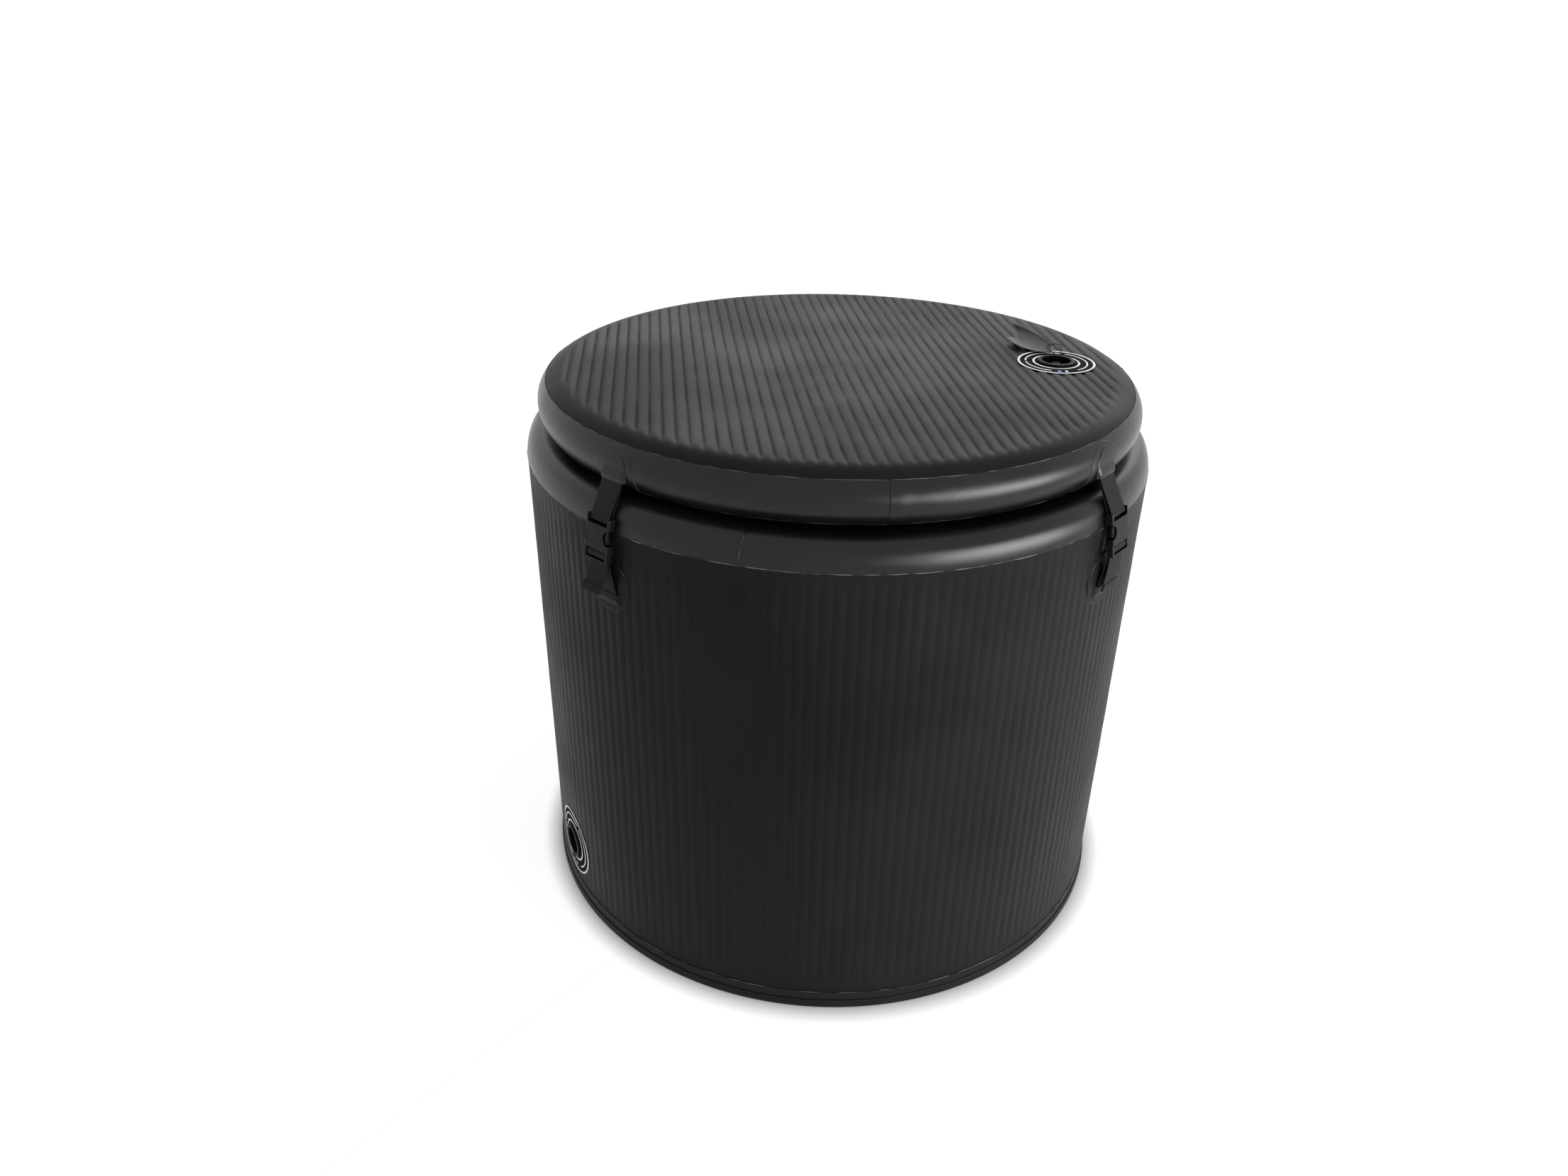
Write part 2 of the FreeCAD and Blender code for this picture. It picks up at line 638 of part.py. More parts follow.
def wall_pocket_patch():
    """The smaller patch that covers the lower strap's sewn end on the wall."""
    low = wall_pocket_low()
    high = low + WALL_POCKET_HEIGHT
    inside = TUB_RADIUS + PATCH_THICKNESS
    stack = STRAP_THICKNESS + 2 * STRAP_GAP + strap_bow(TUB_RADIUS)
    layer = ring(inside + stack + PATCH_THICKNESS, inside, low, high)
    half = WALL_POCKET_WIDTH / 2
    hollow = ring(inside + stack, inside, low + WALL_POCKET_SEAM, high + OVERSIZE)
    hollow = hollow.common(box(-STRAP_WIDTH / 2 - STRAP_GAP, STRAP_WIDTH / 2 + STRAP_GAP,
                               -2 * TUB_RADIUS, 0, 0, TUB_HEIGHT))
    return layer.common(box(-half, half, -2 * TUB_RADIUS, 0, low, high)).cut(hollow)


# Buckle
def ladder_levels():
    """Heights of the plug's bottom bar top, middle bar bottom and middle bar top."""
    bottom_bar_top = BUCKLE_BOTTOM_Z + BOTTOM_BAR
    middle_low = bottom_bar_top + LOWER_SLOT
    return bottom_bar_top, middle_low, middle_low + MIDDLE_BAR


def wall_strap(reach, drop):
    """The lower strap: up behind the plug, over its middle bar and down as a loose tail."""
    bottom_bar_top, middle_low, middle_top = ladder_levels()
    half = STRAP_THICKNESS / 2
    layer = STRAP_THICKNESS + STRAP_GAP
    anchored = TUB_RADIUS + PATCH_THICKNESS + STRAP_GAP + half
    behind = BUCKLE_BACK + half
    front = BUCKLE_MIDDLE + BAR_DEPTH / 2 + STRAP_GAP + half
    upper = middle_top + UPPER_SLOT / 2
    lower = (bottom_bar_top + middle_low) / 2
    below = BUCKLE_BOTTOM_Z - LOWER_SLOT
    sewn = [(anchored, wall_pocket_low() + WALL_POCKET_SEAM + STRAP_GAP),
            (anchored, wall_pocket_low() + WALL_POCKET_HEIGHT + STRAP_THICKNESS)]
    ladder = [(behind, below), (behind, upper), (front, upper), (front, lower), (behind + layer, lower),
              (behind + layer, below)]
    start = leaned(*ladder[-1])
    middle = (start[0] + reach * TAIL_BEND, start[1] - drop / 2)
    end = (start[0] + reach, start[1] - drop)
    tail = ribbon(sewn + [leaned(*point) for point in ladder] + [middle, end], STRAP_THICKNESS, STRAP_WIDTH)
    return tail.fuse(tail_hem(middle, end)).removeSplitter()


def tail_hem(middle, end):
    """The folded end of the loose tail, a second layer on its outer side."""
    run = V(end[0] - middle[0], end[1] - middle[1], 0)
    run.normalize()
    out = V(-run.y, run.x, 0) * (STRAP_THICKNESS * HEM_OVERLAP)
    hem_end = V(end[0], end[1], 0) + out
    hem_start = hem_end - run * TAIL_HEM
    return ribbon([(hem_start.x, hem_start.y), (hem_end.x, hem_end.y)], STRAP_THICKNESS, STRAP_WIDTH)


def rounded(shape, radius, chosen):
    """Fillets the edges that a test picks."""
    edges = [edge for edge in shape.Edges if chosen(edge)]
    return shape.makeFillet(radius, edges)


def upright(edge):
    return abs(edge.tangentAt(edge.FirstParameter).z) > 0.99


def prong_window(side):
    """The round bite in the socket's side that shows one prong's pad."""
    depth = BUCKLE_THICKNESS - SOCKET_WALL + OVERSIZE
    return Part.makeCylinder(WINDOW_RADIUS, depth, V(side * BUCKLE_WIDTH / 2, -BUCKLE_FRONT - OVERSIZE,
                                                     SOCKET_Z + WINDOW_HEIGHT), V(0, 1, 0))


def buckle_socket():
    half = BUCKLE_WIDTH / 2
    shell = box(-half, half, -BUCKLE_FRONT, -BUCKLE_BACK, SOCKET_Z, BUCKLE_TOP_Z)
    shell = rounded(shell, BUCKLE_ROUND, upright)
    inside = half - SOCKET_SIDE
    cavity = box(-inside, inside, -BUCKLE_FRONT + SOCKET_WALL, -BUCKLE_BACK - SOCKET_WALL,
                 SOCKET_Z, SOCKET_Z + SOCKET_CAVITY_HEIGHT)
    reach = STRAP_WIDTH / 2 + 2 * STRAP_GAP
    throat = box(-reach, reach, -BUCKLE_FRONT - OVERSIZE, -BUCKLE_BACK + OVERSIZE,
                 BAR_Z - BAR_RADIUS - SLOT_HEIGHT, BUCKLE_TOP_Z + OVERSIZE)
    bar_end = reach + SOCKET_WALL
    bar = Part.makeCylinder(BAR_RADIUS, 2 * bar_end, V(-bar_end, -BUCKLE_MIDDLE, BAR_Z), V(1, 0, 0))
    shell = shell.cut(cavity).cut(throat)
    for side in (-1, 1):
        shell = shell.cut(prong_window(side))
    return shell.fuse(bar).removeSplitter()


def buckle_plug():
    half = BUCKLE_WIDTH / 2
    bottom_bar_top, middle_low, middle_top = ladder_levels()
    back = BUCKLE_BACK + STRAP_THICKNESS + STRAP_GAP
    flange = rounded(box(-half, half, -BUCKLE_FRONT, -BUCKLE_BACK, FLANGE_Z, SOCKET_Z), BUCKLE_ROUND, upright)
    tongue_depth = PRONG_DEPTH / 2
    tongue = box(-TONGUE_WIDTH / 2, TONGUE_WIDTH / 2, -BUCKLE_MIDDLE - tongue_depth,
                 -BUCKLE_MIDDLE + tongue_depth, SOCKET_Z, SOCKET_Z + TONGUE_HEIGHT)
    plug = flange.fuse(tongue)
    for side in (-1, 1):
        low, high = sorted((side * half, side * (half - RAIL_WIDTH)))
        plug = plug.fuse(box(low, high, -BUCKLE_FRONT + BUCKLE_ROUND, -back, BUCKLE_BOTTOM_Z, FLANGE_Z))
        seat = Part.makeCylinder(PRONG_ROOT_RADIUS + PRONG_FIT, PRONG_DEPTH + 2 * PRONG_FIT,
                                 V(side * PRONG_ROOT_X, -BUCKLE_MIDDLE - tongue_depth - PRONG_FIT, SOCKET_Z),
                                 V(0, 1, 0))
        plug = plug.cut(seat)
    bar_back = -BUCKLE_MIDDLE + BAR_DEPTH / 2
    bar_front = -BUCKLE_MIDDLE - BAR_DEPTH / 2
    middle = box(-half, half, bar_front, bar_back, middle_low, middle_top)
    bottom = box(-half, half, -BUCKLE_FRONT + BUCKLE_ROUND, bar_back, BUCKLE_BOTTOM_Z, bottom_bar_top)
    return plug.fuse(middle).fuse(bottom).removeSplitter()


def prong(side):
    """One sprung arm of the plug, with its thumb pad, turning in a round seat at its root."""
    pad_low = SOCKET_Z + WINDOW_HEIGHT - PRONG_PAD_HEIGHT / 2
    pad_high = SOCKET_Z + WINDOW_HEIGHT + PRONG_PAD_HEIGHT / 2
    pad_x = BUCKLE_WIDTH / 2 - SOCKET_SIDE - PRONG_PAD_INSET
    tip_x = pad_x - PRONG_TIP_NARROWING
    tip_z = SOCKET_Z + PRONG_HEIGHT
    root_half = PRONG_ROOT_RADIUS * 0.9
    root_z = SOCKET_Z + PRONG_ROOT_RADIUS * 0.5
    outline = [(PRONG_ROOT_X - root_half, root_z), (PRONG_ROOT_X + root_half, root_z), (pad_x, pad_low),
               (pad_x, pad_high), (tip_x, tip_z), (tip_x - PRONG_ARM, tip_z),
               (tip_x - PRONG_ARM, pad_low + PRONG_ARM)]
    front = -BUCKLE_MIDDLE - PRONG_DEPTH / 2
    corners = [V(side * x, front, z) for x, z in outline]
    arm = Part.Face(Part.makePolygon(corners + corners[:1])).extrude(V(0, PRONG_DEPTH, 0))
    root_place = V(side * PRONG_ROOT_X, front, SOCKET_Z)
    root = Part.makeCylinder(PRONG_ROOT_RADIUS, PRONG_DEPTH, root_place, V(0, 1, 0))
    return arm.fuse(root).removeSplitter()


def lifting_clear(shape):
    """Thins a leaning tongue or prong from behind, so that the socket can lift straight off it."""
    back, level = leaned(BUCKLE_MIDDLE - PRONG_DEPTH / 2, SOCKET_Z)
    half = BUCKLE_WIDTH / 2
    return shape.cut(box(-half, half, -back, 0, level, BUCKLE_TOP_Z))


# Valves
def helix_point(turns, radius, pitch, start):
    turn = 2 * math.pi * turns
    return V(radius * math.cos(turn), radius * math.sin(turn), start + pitch * turns)


def helix_tangent(turns, radius, pitch):
    turn = 2 * math.pi * turns
    tangent = V(-radius * math.sin(turn), radius * math.cos(turn), pitch / (2 * math.pi))
    return tangent.normalize()


def arc_from_tangent(start, tangent, end):
    """The arc that leaves a point along a tangent and reaches another point."""
    chord = end - start
    side = chord - tangent * chord.dot(tangent)
    side.normalize()
    radius = chord.dot(chord) / (2 * chord.dot(side))
    centre = start + side * radius
    middle = (start + end) * 0.5 - centre
    middle.normalize()
    return Part.Arc(start, centre + middle * radius, end).toShape()


def biarc(start, start_tangent, end, end_tangent):
    """Two tangent arcs between two points with given directions."""
    chord = end - start
    both = start_tangent + end_tangent
    spread = 2 * (1 - start_tangent.dot(end_tangent))
    along = chord.dot(both)
    reach = (-along + math.sqrt(along ** 2 + spread * chord.dot(chord))) / spread
    joint = (start + end + (start_tangent - end_tangent) * reach) * 0.5
    first = arc_from_tangent(start, start_tangent, joint)
    last = arc_from_tangent(end, end_tangent * -1, joint)
    return first, last


def coil_spring(radius, wire, low, high, turns):
    """A compression spring along Z, wound from quarter turns."""
    pitch = (high - low - wire) / turns
    start = low + wire / 2
    edges = []
    for quarter in range(4 * turns):
        here, there = quarter / 4, (quarter + 1) / 4
        edges += biarc(helix_point(here, radius, pitch, start), helix_tangent(here, radius, pitch),
                       helix_point(there, radius, pitch, start), helix_tangent(there, radius, pitch))
    spine = Part.Wire(Part.__sortEdges__(edges))
    section = Part.Wire(Part.makeCircle(wire / 2, helix_point(0, radius, pitch, start),
                                        helix_tangent(0, radius, pitch)))
    return spine.makePipeShell([section], True, False)


def valve_pieces(place, under_flange, chamber):
    """The pieces of one valve, seated on a surface and reaching into an air chamber."""
    throat = THROAT_DIAMETER / 2
    flange = disc(COLLAR_DIAMETER / 2, -OVERSIZE, COLLAR_HEIGHT)
    flange = rounded(flange, COLLAR_ROUND, lambda edge: abs(edge.BoundBox.ZMin - COLLAR_HEIGHT) < 0.01)
    flange.Placement = place
    flange = flange.cut(under_flange)
    tube = disc(VALVE_OUTER, -VALVE_DEPTH - VALVE_SEAT, COLLAR_HEIGHT - COLLAR_ROUND)
    hollow = disc(throat, -VALVE_DEPTH, COLLAR_HEIGHT + OVERSIZE)
    hollow = hollow.fuse(disc(VALVE_SEAT_BORE / 2, -VALVE_DEPTH - VALVE_SEAT - OVERSIZE, -VALVE_DEPTH))
    hub_low = -HUB_DEPTH - HUB_HEIGHT
    hub = disc(HUB_RADIUS, hub_low, -HUB_DEPTH)
    for index in range(3):
        arm = box(0, throat + THROAT_WALL / 2, -SPIDER_ARM / 2, SPIDER_ARM / 2, hub_low, -HUB_DEPTH)
        arm.rotate(V(0, 0, 0), UP, index * 120.0)
        hub = hub.fuse(arm)
    hub = hub.cut(disc(STEM_RADIUS + STEM_FIT, hub_low, -HUB_DEPTH))
    for piece in (tube, hollow, hub):
        piece.Placement = place
    body = flange.fuse(tube).cut(hollow).fuse(hub).removeSplitter()

    nut_top = -LABEL_THICKNESS - RIB_DEPTH
    nut = ring(NUT_DIAMETER / 2, VALVE_OUTER + VALVE_FIT, nut_top - NUT_HEIGHT - SKIN, nut_top)
    nut.Placement = place
    nut = nut.common(chamber)

    head_top = -STEM_HEAD_DEPTH
    head_low = head_top - STEM_HEAD_HEIGHT
    seal_top = -VALVE_DEPTH - VALVE_SEAT - STEM_FIT
    poppet_top = seal_top - SEAL_THICKNESS
    stem = disc(STEM_HEAD_RADIUS, head_low, head_top)
    stem = stem.fuse(disc(STEM_RADIUS, poppet_top - POPPET_HEIGHT, head_top))
    stem = stem.fuse(disc(POPPET_RADIUS, poppet_top - POPPET_HEIGHT, poppet_top)).removeSplitter()
    seal = ring(POPPET_RADIUS, SEAL_BORE / 2, poppet_top, seal_top)
    spring = coil_spring(SPRING_RADIUS, SPRING_WIRE, -HUB_DEPTH + STEM_FIT, head_low - STEM_FIT, SPRING_TURNS)
    for piece in (stem, seal, spring):
        piece.Placement = place
    return {"body": body, "nut": nut, "stem": stem, "seal": seal, "spring": spring}


def lid_valve_pieces():
    under = box(-2 * LID_RADIUS, 2 * LID_RADIUS, -2 * LID_RADIUS, 2 * LID_RADIUS, 0, LID_TOP + LABEL_THICKNESS)
    chamber = disc(LID_RADIUS, LID_BOTTOM, LID_TOP - RIB_DEPTH - SKIN)
    pieces = valve_pieces(LID_VALVE_PLACE, under, chamber)
    label = ring(LABEL_DIAMETER / 2, VALVE_OUTER + VALVE_FIT, -LABEL_THICKNESS, 0)
    label.Placement = LID_VALVE_PLACE
    pieces["label"] = label
    return pieces


def wall_valve_pieces():
    under = disc(TUB_RADIUS + LABEL_THICKNESS, 0, TUB_HEIGHT)
    chamber = disc(OUTER_CAVITY, 0, TUB_HEIGHT)
    pieces = valve_pieces(WALL_VALVE_PLACE, under, chamber)
    outline = bore_at(WALL_VALVE_PLACE, LABEL_DIAMETER / 2, WALL_THICKNESS / 2)
    label = ring(TUB_RADIUS + LABEL_THICKNESS, TUB_RADIUS, 0, TUB_HEIGHT).common(outline)
    pieces["label"] = label.cut(WALL_VALVE_HOLE)
    return pieces


# Drain
def drain_pieces():
    """A tube right through the wall, with a strainer inside and a screw cap outside."""
    bore = DRAIN_BORE / 2
    inner_end = -WALL_THICKNESS - STRAINER_THICKNESS
    flange = disc(DRAIN_FLANGE_DIAMETER / 2, -OVERSIZE, DRAIN_FLANGE)
    flange.Placement = DRAIN_PLACE
    flange = flange.cut(disc(TUB_RADIUS, 0, TUB_HEIGHT))
    tube = disc(DRAIN_OUTER, -WALL_THICKNESS, DRAIN_SPIGOT)
    hollow = disc(bore, -WALL_THICKNESS - OVERSIZE, DRAIN_SPIGOT + OVERSIZE)
    for piece in (tube, hollow):
        piece.Placement = DRAIN_PLACE
    body = flange.fuse(tube).cut(hollow).removeSplitter()

    strainer = disc(STRAINER_DIAMETER / 2, inner_end, -WALL_THICKNESS)
    hole = STRAINER_HOLE / 2
    places = [(0.0, 0.0)] + [tuple(polar(bore - STRAINER_HOLE, 60.0 * index))[:2] for index in range(6)]
    for place in places:
        strainer = strainer.cut(disc(hole, inner_end - OVERSIZE, OVERSIZE - WALL_THICKNESS, place))

    cap_inside = DRAIN_OUTER + DRAIN_CAP_FIT
    cap_outside = cap_inside + DRAIN_CAP_WALL
    cap_low = DRAIN_FLANGE + DRAIN_CAP_FIT
    seal_low = DRAIN_SPIGOT + STEM_FIT
    cap_roof = seal_low + DRAIN_SEAL + STEM_FIT
    cap = disc(cap_outside, cap_low, cap_roof + DRAIN_CAP_WALL).cut(disc(cap_inside, cap_low, cap_roof))
    for index in range(DRAIN_CAP_GRIPS):
        centre = tuple(polar(cap_outside + DRAIN_CAP_WALL / 4, index * 360.0 / DRAIN_CAP_GRIPS))[:2]
        cap = cap.cut(disc(DRAIN_CAP_WALL / 2, cap_low, cap_roof + DRAIN_CAP_WALL, centre))
    seal = ring(cap_inside - DRAIN_CAP_FIT, bore, seal_low, seal_low + DRAIN_SEAL)
    for piece in (strainer, cap, seal):
        piece.Placement = DRAIN_PLACE
    strainer = strainer.common(disc(INNER_RADIUS, 0, TUB_HEIGHT))
    return {"tube": body, "strainer": strainer, "cap": cap, "cap_seal": seal}


# Tag and its cord
def lid_valve_point(offset):
    """A point given from the lid valve's middle, with its height above the lid."""
    return polar(LID_VALVE_RADIUS, LID_VALVE_ANGLE, LID_TOP) + V(*offset)


def tag_section(offsets):
    """The tag's cut edge along the arc through three points of its upper side."""
    upper = [lid_valve_point(offset) for offset in offsets]
    arc = Part.Arc(*upper).toShape()
    lower = [point + (point - arc.Curve.Center).normalize() * TAG_THICKNESS for point in upper]
    ends = [line_edge(upper[index], lower[index]) for index in (2, 0)]
    return Part.Wire(Part.__sortEdges__([arc, ends[0], Part.Arc(*lower).toShape(), ends[1]]))


def cord_points():
    """The cord's loop from the valve's collar through the tag's hole and back, chosen by hand."""
    offsets = [(11.5, 22.2, 4.0), (15.5, 31.0, 8.5), (17.0, 41.0, 12.5), (12.5, 51.0, 12.8), (5.5, 57.0, 9.3),
               (0.5, 55.5, 8.2), (-0.5, 47.5, 6.8), (0.0, 38.5, 5.8), (3.0, 31.0, 5.4), (5.2, 24.3, 4.0)]
    return [lid_valve_point(offset) for offset in offsets]


def valve_tag():
    sheet = Part.makeLoft([tag_section(TAG_NEAR_END), tag_section(TAG_FAR_END)], True, True)
    before, through, after = cord_points()[3:6]
    along = (after - before).normalize()
    reach = 2 * TAG_HOLE_DIAMETER
    return sheet.cut(Part.makeCylinder(TAG_HOLE_DIAMETER / 2, 2 * reach, through - along * reach, along))


def tube_along(points, radius):
    """A round cord of straight runs joined by tangent arcs."""
    edges = []
    here = points[0]
    for index in range(1, len(points) - 1):
        before, corner, after = points[index - 1:index + 2]
        arriving = (corner - before)
        leaving = (after - corner)
        trim = 0.45 * min(arriving.Length, leaving.Length)
        arriving.normalize()
        leaving.normalize()
        start = corner - arriving * trim
        end = corner + leaving * trim
        turn = arriving.getAngle(leaving)
        bisector = leaving - arriving
        bisector.normalize()
        bend = trim / math.tan(turn / 2)
        print("cord bend radius", round(bend, 1))
        middle = corner + bisector * (bend / math.cos(turn / 2) - bend)
        edges.append(line_edge(here, start))
        edges.append(Part.Arc(start, middle, end).toShape())
        here = end
    edges.append(line_edge(here, points[-1]))
    spine = Part.Wire(edges)
    first = points[1] - points[0]
    section = Part.Wire(Part.makeCircle(radius, points[0], first))
    tube = spine.makePipeShell([section], True, False)
    print("cord length", round(spine.Length, 1), "volume ratio",
          round(tube.Volume / (math.pi * radius ** 2 * spine.Length), 3))
    return tube


def tag_cord():
    return tube_along(cord_points(), CORD_DIAMETER / 2)


def main():
    nodes = [tub_outer_skin, tub_inner_skin, wall_yarn_rows, rim_band, base_band, base_tape, floor_sheet,
             corner_tape, lid_top_skin, lid_bottom_skin, lid_edge_band, lid_yarn_rows, valve_tag, tag_cord]
    for make in nodes:
        save(make.__name__, make())
    patches = {"lid_base_patches": lid_base_patch, "lid_pocket_patches": lid_pocket_patch,
               "wall_base_patches": wall_base_patch, "wall_pocket_patches": wall_pocket_patch}
    for name, make in patches.items():
        patch = make()
        save(name, Part.makeCompound([turned(patch, angle) for angle in BUCKLE_ANGLES.values()]))
    buckle = {"socket": leaning(buckle_socket()), "plug": lifting_clear(leaning(buckle_plug())),
              "left_prong": lifting_clear(leaning(prong(-1))), "right_prong": lifting_clear(leaning(prong(1))),
              "lid_strap": lid_strap()}
    for place, angle in BUCKLE_ANGLES.items():
        save(place + "_wall_strap", turned(wall_strap(TAIL_REACHES[place], TAIL_DROPS[place]), angle))
        for piece, shape in buckle.items():
            save(place + "_" + piece, turned(shape, angle))
    groups = {"lid_valve": lid_valve_pieces(), "wall_valve": wall_valve_pieces(), "drain": drain_pieces()}
    for group, pieces in groups.items():
        for piece, shape in pieces.items():
            save(group + "_" + piece, shape)


main()
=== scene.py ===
"""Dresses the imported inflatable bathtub: stitched skins, bands, webbing, buckles, valves, tag and stage."""

import math

import bmesh
import bpy
from bpy.props import FloatProperty, FloatVectorProperty, IntProperty, PointerProperty
from mathutils import Matrix, Vector, noise


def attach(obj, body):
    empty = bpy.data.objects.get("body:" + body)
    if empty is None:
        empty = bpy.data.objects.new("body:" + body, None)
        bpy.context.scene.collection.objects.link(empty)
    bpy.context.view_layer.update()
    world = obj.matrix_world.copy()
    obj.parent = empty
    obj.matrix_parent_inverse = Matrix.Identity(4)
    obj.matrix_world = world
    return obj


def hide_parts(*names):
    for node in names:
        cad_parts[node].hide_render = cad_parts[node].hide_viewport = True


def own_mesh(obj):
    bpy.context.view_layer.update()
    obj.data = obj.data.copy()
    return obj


bl_info = {
    "name": "Inflatable bathtub",
    "version": (1, 0, 0),
    "blender": (4, 5, 0),
    "location": "3D View > Sidebar > Bathtub",
    "description": "Builds the looks of a round inflatable bathtub with a lid over its packed frame",
    "category": "Object",
}

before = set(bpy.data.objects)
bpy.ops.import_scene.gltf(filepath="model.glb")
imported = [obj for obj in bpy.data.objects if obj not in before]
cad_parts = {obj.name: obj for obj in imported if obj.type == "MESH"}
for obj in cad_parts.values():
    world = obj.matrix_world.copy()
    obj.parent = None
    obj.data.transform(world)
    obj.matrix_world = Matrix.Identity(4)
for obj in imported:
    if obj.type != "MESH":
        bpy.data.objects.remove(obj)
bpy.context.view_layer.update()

# Buckles: the angle of each round the tub, and how far its strap's loose tail stands off and hangs down
BUCKLE_TURNS = {"front_left": -135.0, "front_right": -45.0, "back_right": 45.0, "back_left": 135.0}
TAIL_REACHES = {"front_left": 0.017, "front_right": -0.004, "back_right": 0.008, "back_left": 0.002}
TAIL_DROPS = {"front_left": 0.034, "front_right": 0.048, "back_right": 0.042, "back_left": 0.040}
HEM, RIB_RISE = 0.010, 0.00028
# An upright buckle, as radius and height, which leans in about the foot of its back
BUCKLE_LEAN, BUCKLE_BACK, BUCKLE_FOOT = math.radians(11.5), 0.4595, 0.659
BAR_MIDDLE, SOCKET_BAR, SOCKET_BAR_HALF, PLUG_BAR_HALF = 0.465, 0.7123, 0.0019, 0.0015
OVER_BAR, UNDER_BAR, BELOW_FOOT = 0.0139, 0.0043, 0.0034
# Pockets: where the straps go in and come out, the pockets' half widths and ends, their ease and their edges
LID_STRAP_TUCK, LID_STRAP_LEAVE, WALL_STRAP_TUCK, WALL_STRAP_LEAVE = 0.008, 0.016, 0.6002, 0.6145
LID_POCKET_HALF, WALL_POCKET_HALF, WALL_POCKET_LOW, WALL_POCKET_HIGH = 0.0215, 0.023, 0.595, 0.613
LID_POCKET_EASE, WALL_POCKET_EASE, EDGE_DROP, EDGE_WIDTH, EDGE_GLUE = 0.00034, 0.00032, 0.0005, 0.0008, 0.0003
# Valves: place on the wall, hole, what the label hides, its print, and the spring from the surface inwards
WALL_VALVE_TURN, WALL_VALVE_HEIGHT = math.radians(-155.7), 0.095
VALVE_HOLE, LABEL_COVER, LABEL_RADIUS, LABEL_TOP = 0.0235, 0.054, 0.056, 0.0004
PRINT_LOW, PRINT_TOP = 0.0003, 0.00046
COIL_RADIUS, COIL_WIRE, COIL_TURNS, STEM_TRAVEL = 0.0044, 0.001, 4, 0.005
COIL_LOW, COIL_HIGH = -0.01655, -0.00365
# Overlap joints of the smooth bands, in degrees round the tub, and the lean of the rim's
RIM_JOINT, RIM_JOINT_LEAN, LID_JOINT = -110.5, 16.0, -88.0
SKIN_UNEVENNESS, BAND_UNEVENNESS = 0.0012, 0.0009


def size_of(name, description, default):
    """A length that a user may change."""
    return FloatProperty(name=name, description=description, default=default, unit="LENGTH", precision=4)


def colour_of(name, description, default):
    """A colour that a user may change."""
    return FloatVectorProperty(name=name, description=description, default=default, subtype="COLOR", size=3,
                               min=0.0, max=1.0)


class TubSizes(bpy.types.PropertyGroup):
    radius: size_of("Radius", "Outer radius of the wall at the crown of its ribs", 0.450)
    height: size_of("Height", "Height of the rim above the floor", 0.736)
    inner_radius: size_of("Inner radius", "Radius of the inside at the crown of its ribs", 0.360)
    rim_seam: size_of("Rim seam", "Height of the seam between ribbed wall and rim band", 0.697)
    base_seam: size_of("Base seam", "Height of the seam between ribbed wall and base", 0.027)
    rim_flank: size_of("Rim flank", "Radius of the rim band's lower arc", 0.060)
    rim_shoulder: size_of("Rim shoulder", "Radius of the rim band's upper arc", 0.026)
    skin: size_of("Skin", "Thickness of the coated fabric", 0.0012)
    ribs: IntProperty(name="Ribs", description="Stitched ribs round the wall", default=180, min=12)
    rib_depth: size_of("Rib depth", "Depth of a groove under the crown of its ribs", 0.0008)
    rib_fade: size_of("Rib fade", "Length over which a rib runs out at a seam", 0.030)
    stitch_pitch: size_of("Stitch pitch", "Distance between stitches in a groove", 0.0058)


class LidSizes(bpy.types.PropertyGroup):
    radius: size_of("Radius", "Widest radius of the lid", 0.430)
    top: size_of("Top", "Height of the ribbed top", 0.8120)
    bottom: size_of("Bottom", "Height of the ribbed underside", 0.7363)
    upper_round: size_of("Upper round", "Radius of the edge above its widest line", 0.040)
    seam_turn: FloatProperty(name="Seam angle", description="Where the edge band ends, above the horizontal",
                             default=math.radians(46.0), subtype="ANGLE")
    rib_pitch: size_of("Rib pitch", "Distance between the grooves", 0.0161)
    rib_turn: FloatProperty(name="Rib angle", description="Turn of the ribs from the front to back line",
                            default=math.radians(2.4), subtype="ANGLE")
    rib_depth: size_of("Rib depth", "Depth of a groove under the crown of its ribs", 0.0021)
    rib_sink: size_of("Rib sink", "How far the smooth margin lies under the ribs' crowns", 0.0007)
    valve_x: size_of("Valve across", "Place of the lid's valve to the right", 0.31677)
    valve_y: size_of("Valve along", "Place of the lid's valve to the back", -0.01217)


class WebbingSizes(bpy.types.PropertyGroup):
    width: size_of("Width", "Width of the webbing", 0.034)
    thickness: size_of("Thickness", "Thickness of the webbing", 0.0015)
    rib: size_of("Rib", "Distance between the woven ribs", 0.0024)
    gap: size_of("Gap", "Slack between the layers", 0.0002)
    patch: size_of("Patch", "Thickness of a welded patch", 0.0008)


class Finishes(bpy.types.PropertyGroup):
    skin: colour_of("Skin", "Stitched fabric", (0.0080, 0.0081, 0.0085))
    band: colour_of("Band", "Smooth bands and patches", (0.0062, 0.0063, 0.0067))
    seam: colour_of("Seam", "Glue that has come out of a seam", (0.075, 0.076, 0.080))
    webbing: colour_of("Webbing", "Straps", (0.0048, 0.0049, 0.0053))
    plastic: colour_of("Plastic", "Buckles and valves", (0.0045, 0.0046, 0.0050))
    print_white: colour_of("White print", "Rings of the valve labels", (0.92, 0.93, 0.94))
    print_blue: colour_of("Blue print", "Mark on the valve labels", (0.05, 0.22, 0.62))
    tag: colour_of("Tag", "Curled tag", (0.20, 0.20, 0.204))


